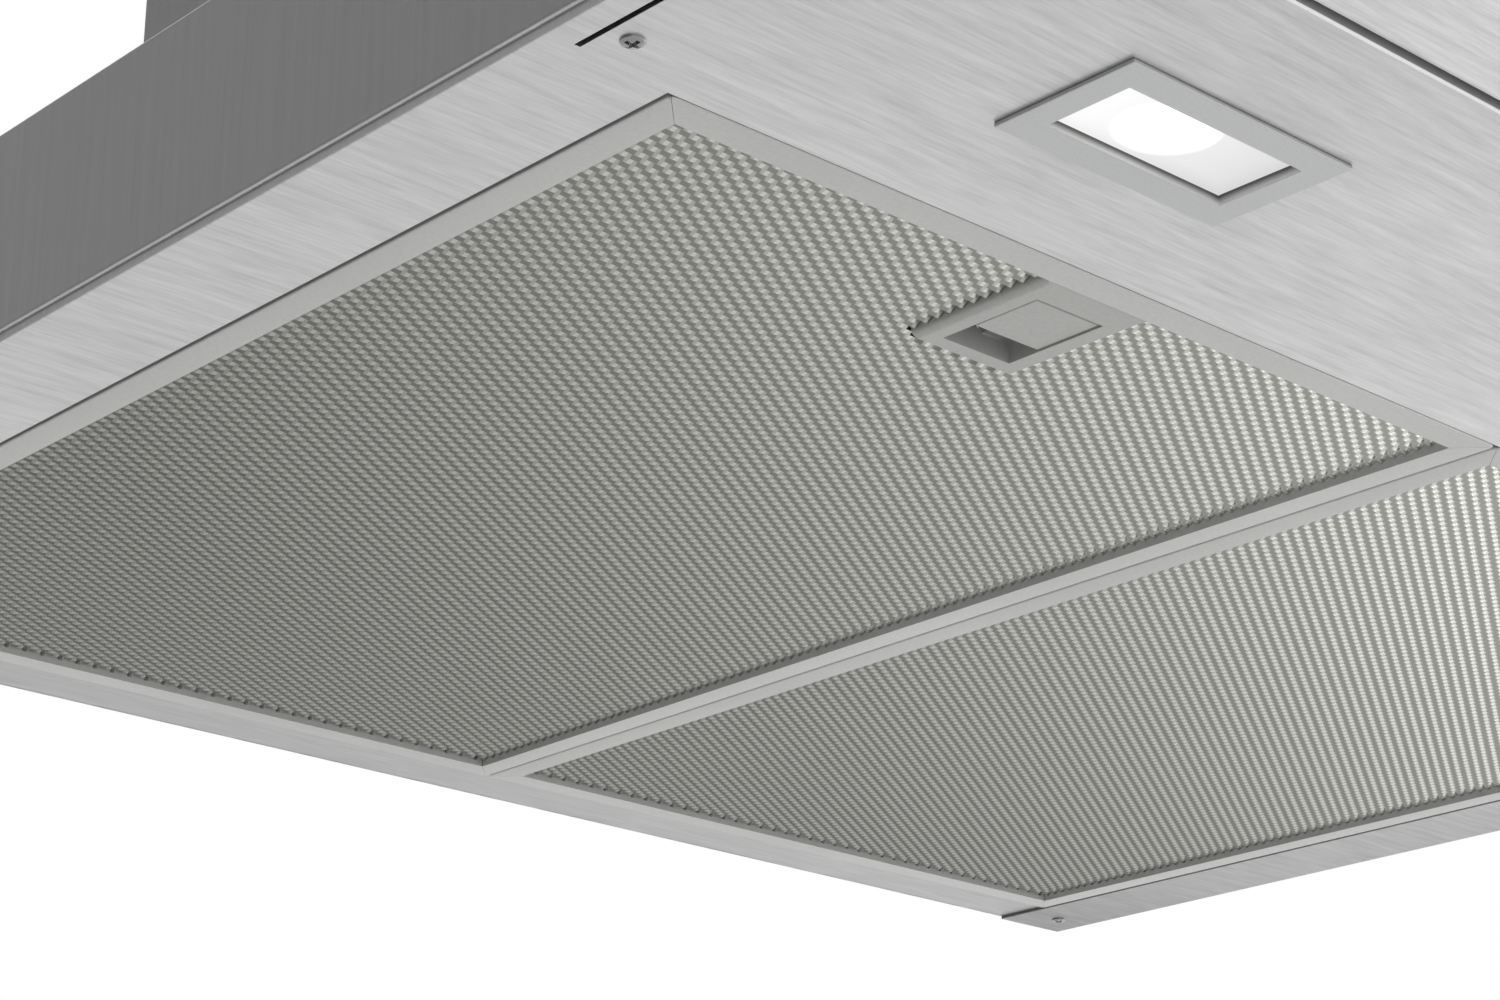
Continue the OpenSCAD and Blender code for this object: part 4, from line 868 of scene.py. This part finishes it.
def mitred_frame(name, node, outline, profile, gap, radius):
    """Four lengths of a channel section, mitred with a hairline at each corner and rounded outside."""
    x0, x1, y0, y1 = outline
    corners = [np.array(c, float) for c in ((x0, y0), (x1, y0), (x1, y1), (x0, y1))]
    count = len(profile)
    width = max(d for d, _ in profile)
    rows = corner_rows([d for d, _ in profile], width, radius)
    verts, faces = [], []
    for k in range(4):
        a, b = corners[k], corners[(k + 1) % 4]
        way = (b - a) / np.linalg.norm(b - a)
        inward = np.array((-way[1], way[0]))
        base = len(verts)
        ends = [(1, a, row) for row in rows] + [(-1, b, row) for row in reversed(rows)]
        for end, start, row in ends:
            for (reach, depth), (_, z) in zip(row, profile):
                xy = start + inward * depth + way * end * (reach + gap)
                verts.append((xy[0], xy[1], z))
        for ring in range(len(ends) - 1):
            low, high = base + ring * count, base + (ring + 1) * count
            for i in range(count):
                j = (i + 1) % count
                faces.append((low + i, low + j, high + j, high + i))
        last = base + (len(ends) - 1) * count
        faces.append(tuple(base + i for i in reversed(range(count))))
        faces.append(tuple(last + i for i in range(count)))
    piece = add_mesh(name, verts, faces, node, FRAME_ALU)
    bm = bmesh.new()
    bm.from_mesh(piece.data)
    bmesh.ops.remove_doubles(bm, verts=bm.verts, dist=WELD)
    bmesh.ops.dissolve_degenerate(bm, dist=SHORTEST, edges=bm.edges)
    bm.to_mesh(piece.data)
    bm.free()
    piece.data.set_sharp_from_angle(angle=math.radians(CREASE))
    return piece


def make_filter_frame(side_name):
    """A filter's frame, with painted light on the duller lip along the mesh."""
    node = "filter_%s_frame" % side_name
    lo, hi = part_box(node)
    x0, x1, y0, y1 = lo.x / MM, hi.x / MM, lo.y / MM, hi.y / MM
    base = lo.z / MM
    top = hi.z / MM - base
    width, wall, bend = FRAME_WIDTH, FRAME_WALL, FRAME_BEND
    profile = [(width, 0)] + arc((bend, bend), bend, 270, 180, 5) + arc((bend, top - bend), bend, 180, 90, 5)
    profile += [(width, top), (width, top - wall), (wall, top - wall), (wall, wall),
                (width - wall, wall), (width - wall, FRAME_LIP), (width, FRAME_LIP)]
    profile = [(d, base + z) for d, z in profile]
    piece = mitred_frame(node + "_channel", node, (x0, x1, y0, y1), profile, MITRE_GAP, FRAME_CORNER)

    def choose(face):
        c = face.center / MM
        inset = min(c.x - x0, x1 - c.x, c.y - y0, y1 - c.y)
        return 1 if inset > width - LIP_BAND and upright(face) else 0

    paint(piece, (FRAME_ALU, LIP_LIGHT_ALU), choose)


for side in SIDES:
    make_filter_frame(side)


# Screws and buttons

# A pan screw's head: radius as a share of the CAD head's, height, and the share of it that is a straight rim
HEAD_SHARE = 0.87
HEAD_HEIGHT = 0.95
RIM_SHARE = 0.25
# Angles from the dome's axis at which it has a point, in degrees
DOME_ANGLES = (12, 24, 36, 48, 60, 70, 79, 86)
# The cross: reach and half width of an arm as shares of the radius, and depth as a share of the head's height
CROSS_REACH = 0.74
CROSS_HALF = 0.21
CROSS_DEPTH = 0.85
# Its two upper levels: shares of the depth, of the reach and of the half width
CROSS_TAPER = ((0.35, 0.9, 0.85), (1, 0.35, 0.6))
# How far the cutter reaches out of the head
CUT_ROOM = 0.4
# The shank's radius as a share of the head's
SHANK_SHARE = 0.6

# A button: length of its cap, radius of the stem behind it, and chamfers at the rear of both
CAP_LENGTH = 10.9
STEM_RADIUS = 2.0
CAP_CHAMFER = 0.4
STEM_CHAMFER = 0.3
# Radius and depth of the dish's points, and distance inside the cap's side and depth of the rim's points
BUTTON_DISH = ((0, 0.45), (3.0, 0.40), (4.6, 0.25), (5.4, 0.05), (5.8, 0))
BUTTON_RIM = ((0.7, 0.02), (0.2, 0.2), (0, 0.7))


def lathe(centre, profile, axis, segments=40):
    """Turned solid: profile of (radius, height) from the middle of one end to the middle of the other."""
    verts, faces = [], []
    rings = []
    for radius, height in profile:
        if radius == 0:
            rings.append([len(verts)])
            local = [(0, 0)]
        else:
            rings.append(list(range(len(verts), len(verts) + segments)))
            local = [(radius * math.cos(2 * math.pi * k / segments),
                      radius * math.sin(2 * math.pi * k / segments)) for k in range(segments)]
        for u, v in local:
            place = (u, v, height) if axis == "z" else (u, height, v)
            verts.append(tuple(c + p for c, p in zip(centre, place)))
    for low, high in zip(rings, rings[1:]):
        for k in range(segments):
            m = (k + 1) % segments
            if len(low) == 1:
                faces.append((low[0], high[m], high[k]))
            elif len(high) == 1:
                faces.append((low[k], low[m], high[0]))
            else:
                faces.append((low[k], low[m], high[m], high[k]))
    if axis == "y":
        faces = [tuple(reversed(f)) for f in faces]
    return verts, faces


def join(parts):
    """One list of vertices and faces from several."""
    verts, faces = [], []
    for v, f in parts:
        base = len(verts)
        verts.extend(v)
        faces.extend(tuple(i + base for i in face) for face in f)
    return verts, faces


def mesh_islands(node):
    """Boxes of the separate solids in a CAD node, in millimetres."""
    bm = bmesh.new()
    bm.from_mesh(frame["nodes"][node].data)
    bmesh.ops.remove_doubles(bm, verts=bm.verts, dist=WELD)
    seen, boxes = set(), []
    for start in bm.verts:
        if start in seen:
            continue
        stack, island = [start], []
        seen.add(start)
        while stack:
            v = stack.pop()
            island.append(v.co.copy())
            for e in v.link_edges:
                other = e.other_vert(v)
                if other not in seen:
                    seen.add(other)
                    stack.append(other)
        pts = np.array(island) / MM
        boxes.append((pts.min(axis=0), pts.max(axis=0)))
    bm.free()
    return boxes


def cross_cutter(centre, z, reach, half, depth):
    """A tapered cross that cuts a recess upward from z."""
    levels = [(z - CUT_ROOM, reach, half)]
    levels += [(z + a * depth, b * reach, c * half) for a, b, c in CROSS_TAPER]
    verts, faces = [], []
    for height, far, near in levels:
        quarter = [(near, near), (near, far), (-near, far)]
        cross = []
        for _ in range(4):
            cross += quarter
            quarter = [(-v, u) for u, v in quarter]
        verts += [(centre[0] + u, centre[1] + v, height) for u, v in cross]
    count = len(cross)
    for row in range(len(levels) - 1):
        low, high = row * count, (row + 1) * count
        for i in range(count):
            j = (i + 1) % count
            faces.append((low + i, low + j, high + j, high + i))
    faces.append(tuple(reversed(range(count))))
    faces.append(tuple(range(high, high + count)))
    return verts, faces


def subtract(obj, name, verts, faces):
    """Cuts a shape given in millimetres out of a piece."""
    data = bpy.data.meshes.new(name)
    data.from_pydata([tuple(c * MM for c in v) for v in verts], [], faces)
    cutter = bpy.data.objects.new(name, data)
    bpy.context.scene.collection.objects.link(cutter)
    cut = obj.modifiers.new(name, "BOOLEAN")
    cut.operation = "DIFFERENCE"
    cut.solver = "EXACT"
    cut.object = cutter
    graph = bpy.context.evaluated_depsgraph_get()
    made = bpy.data.meshes.new_from_object(obj.evaluated_get(graph))
    obj.modifiers.clear()
    obj.data = made
    made.set_sharp_from_angle(angle=math.radians(CREASE))
    bpy.data.objects.remove(cutter)


def make_pan_screws():
    """Domed screws with a cross recess, each at its CAD screw's place."""
    seat = pan_lo.z
    h = HEAD_HEIGHT
    rim = RIM_SHARE * h
    heads, cutters = [], []
    for lo, hi in mesh_islands("pan_screws"):
        r = HEAD_SHARE * (hi[0] - lo[0]) / 2
        shank, tip = SHANK_SHARE * r, hi[2] - seat
        centre = ((lo[0] + hi[0]) / 2, (lo[1] + hi[1]) / 2, seat)
        dome = [(r * math.sin(a), -rim - (h - rim) * math.cos(a)) for a in map(math.radians, DOME_ANGLES)]
        profile = [(0, -h)] + dome + [(r, -rim), (r, 0), (shank, 0), (shank, tip), (0, tip)]
        heads.append(lathe(centre, profile, "z", 48))
        cutters.append(cross_cutter(centre, seat - h, CROSS_REACH * r, CROSS_HALF * r, CROSS_DEPTH * h))
    screws = add_mesh("pan_screws_turned", *join(heads), "pan_screws", PLATED)
    subtract(screws, "cross", *join(cutters))


make_pan_screws()


def make_button(name):
    """A button with a dished face, a rounded rim and a stem."""
    node = "button_" + name
    lo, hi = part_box(node)
    lo, hi = lo / MM, hi / MM
    r = (hi.x - lo.x) / 2
    centre = ((lo.x + hi.x) / 2, 0, (lo.z + hi.z) / 2)
    face, back = lo.y, lo.y + CAP_LENGTH
    dish = [(radius, face + depth) for radius, depth in BUTTON_DISH]
    rim = [(r - inside, face + depth) for inside, depth in BUTTON_RIM]
    side = [(r, back - CAP_CHAMFER), (r - CAP_CHAMFER, back), (STEM_RADIUS, back)]
    stem = [(STEM_RADIUS, hi.y - STEM_CHAMFER), (STEM_RADIUS - STEM_CHAMFER, hi.y), (0, hi.y)]
    verts, faces = lathe(centre, dish + rim + side + stem, "y", 72)
    add_mesh(node + "_turned", verts, faces, node, BUTTON)


for button in ("off", "low", "medium", "high", "light"):
    make_button(button)


# Lamps and latches

# How far above the bezel's underside its window's wall is shaded
WINDOW_WALL_TOP = 5
# How far, in metres, a face of the window's wall lies from the bezel's middle at least
WINDOW_INWARD = 0.002
# Rounding of the latch plate's outer bottom edges and of its upright rear ones
PLATE_ROUND = 2.4
PLATE_UPRIGHT_ROUND = 1.2
# Rounding of the slider's bottom edges, and of its right one
SLIDER_ROUND = 0.9
SLIDER_RIGHT_ROUND = 0.25
# How far inside the latch plate's outline its recess's walls lie at least
RECESS_INSET = 2.5
# Height of the slider's shaded edges, and least part of their normals to the left or to the front
SHADED_HEIGHT = 1.0
SHADED_LEAN = 0.15
# Edge rounding of bezel, latch plate and slider
BEZEL_ROUND = 0.3
PLATE_INNER_ROUND = 0.2
SLIDER_INNER_ROUND = 0.12


def make_bezel(side_name):
    """The bezel, with painted shade on its window's wall that darkens towards the glass."""
    node = "lamp_%s_bezel" % side_name
    lo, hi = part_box(node)
    middle = (lo + hi) / 2

    def choose(face):
        inward = (middle.x - face.center.x) * face.normal.x + (middle.y - face.center.y) * face.normal.y
        low = face.center.z < lo.z + WINDOW_WALL_TOP * MM
        return 1 if low and upright(face) and inward > WINDOW_INWARD else 0

    paint(rounded(node, BEZEL_ROUND), (BEZEL, WINDOW_WALL), choose)


def make_latch_plate(side_name):
    """The latch plate with rolled outer edges and painted shade in its recess."""
    node = "filter_%s_latch_plate" % side_name
    lo, hi = (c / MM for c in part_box(node))

    def rolled(mid, direction):
        rear = mid.y > hi.y - NEAR
        outside = abs(mid.x - lo.x) < NEAR or abs(mid.x - hi.x) < NEAR or rear
        if mid.z < lo.z + NEAR and outside:
            return PLATE_ROUND
        if along(direction, 2) and rear:
            return PLATE_UPRIGHT_ROUND
        return None

    def choose(face):
        c = face.center / MM
        inset = min(c.x - lo.x, hi.x - c.x, hi.y - c.y, c.y - lo.y)
        return 1 if inset > RECESS_INSET and upright(face) else 0

    skin = rounded(node, PLATE_INNER_ROUND, 5, special=rolled, widest=PLATE_ROUND)
    paint(skin, (LATCH_ALU, RECESS_SHADE_ALU), choose)


def make_slider(side_name):
    """The sliding catch with soft edges, shaded on the left and in front."""
    node = "filter_%s_latch" % side_name
    plate_lo, plate_hi = (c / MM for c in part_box("filter_%s_latch_plate" % side_name))
    middle = (plate_lo.x + plate_hi.x) / 2
    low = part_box(node)[0].z / MM

    def soft(mid, direction):
        if mid.z < low + NEAR:
            return SLIDER_RIGHT_ROUND if along(direction, 1) and mid.x > middle else SLIDER_ROUND
        return None

    def choose(face):
        shaded = min(face.normal.x, face.normal.y) < -SHADED_LEAN
        return 1 if shaded and face.center.z / MM < low + SHADED_HEIGHT else 0

    skin = rounded(node, SLIDER_INNER_ROUND, 4, special=soft, widest=SLIDER_ROUND)
    paint(skin, (LATCH_ALU, SOFT_ALU), choose)


for side in SIDES:
    make_bezel(side)
    make_latch_plate(side)
    make_slider(side)


# Stage and light, all places and sizes in metres

FLOOR_SIZE = 16
FLOOR_PLACE = (2.0, 0, -1.1)
FLAG_SIZE = 8
FLAG_PLACE = (-1.9, 2.2, 2.0)
KEY_PLACE = (2.2, -0.6, -0.9)
KEY_TARGET = (0.2, -0.25, 0.0)
KEY_SIZE = (1.6, 1.2)
KEY_POWER = 6
# Where a card's painted shade falls, along its own X
FALL_RANGE = (-1.3, 0.4)
# World strength for the light on the surfaces, and for the background and its reflections
LIGHT_LEVEL = 1.3
BACKGROUND_LEVEL = 1.0


def plane(name, size, place, turn, material):
    """A square that is stage and no part of the object."""
    half = size / 2
    corners = [(-half, -half, 0), (half, -half, 0), (half, half, 0), (-half, half, 0)]
    data = bpy.data.meshes.new(name)
    data.from_pydata(corners, [], [(0, 1, 2, 3)])
    obj = bpy.data.objects.new(name, data)
    obj.location = place
    obj.rotation_euler = turn
    bpy.context.scene.collection.objects.link(obj)
    set_material(obj, material)
    return obj


def card(name, level, shade_fall=0.0):
    """Matt paper or cloth; shade_fall is painted shade that darkens it towards its left edge."""
    n = Nodes(name)
    x, _, _ = n.xyz()
    shade = n.map_range(x, *FALL_RANGE)
    speck = n.noise(n.coords((3, 3, 3)), detail=2, rough=0.5)
    n.colour(n.mix_value(shade, speck, factor=0.2), grey(level * (1 - shade_fall)), grey(level * 1.02))
    n.set(Roughness=0.8, Specular_IOR_Level=0.1)
    return n.material


def area_light(name, place, target, size, power):
    """A rectangular lamp that looks at target."""
    data = bpy.data.lights.new(name, "AREA")
    data.shape = "RECTANGLE"
    data.size, data.size_y = size
    data.energy = power
    obj = bpy.data.objects.new(name, data)
    obj.location = place
    obj.rotation_euler = (Vector(target) - Vector(place)).to_track_quat("-Z", "Y").to_euler()
    bpy.context.scene.collection.objects.link(obj)


def make_world(light_level, background_level):
    """White background for what looks at it, and an even light for the surfaces."""
    world = bpy.data.worlds.new("studio")
    world.use_nodes = True
    tree = world.node_tree
    tree.nodes.clear()
    path = tree.nodes.new("ShaderNodeLightPath")
    seen = path.outputs["Is Camera Ray"]
    for kind in ("Is Glossy Ray", "Is Transmission Ray"):
        higher = tree.nodes.new("ShaderNodeMath")
        higher.operation = "MAXIMUM"
        tree.links.new(seen, higher.inputs[0])
        tree.links.new(path.outputs[kind], higher.inputs[1])
        seen = higher.outputs[0]
    strength = tree.nodes.new("ShaderNodeMapRange")
    strength.inputs["To Min"].default_value = light_level
    strength.inputs["To Max"].default_value = background_level
    tree.links.new(seen, strength.inputs["Value"])
    background = tree.nodes.new("ShaderNodeBackground")
    background.inputs["Color"].default_value = (1, 1, 1, 1)
    tree.links.new(strength.outputs["Result"], background.inputs["Strength"])
    output = tree.nodes.new("ShaderNodeOutputWorld")
    tree.links.new(background.outputs[0], output.inputs["Surface"])
    bpy.context.scene.world = world


# The floor paper has painted shade towards its left edge
plane("floor", FLOOR_SIZE, FLOOR_PLACE, (0, 0, 0), card("floor_paper", 0.85, shade_fall=0.14))
flag = plane("left_flag", FLAG_SIZE, FLAG_PLACE, (0, math.radians(90), 0), card("flag_cloth", 0.22))
flag.visible_camera = False
area_light("key", KEY_PLACE, KEY_TARGET, KEY_SIZE, KEY_POWER)
make_world(LIGHT_LEVEL, BACKGROUND_LEVEL)
bpy.context.scene.view_settings.view_transform = "Standard"
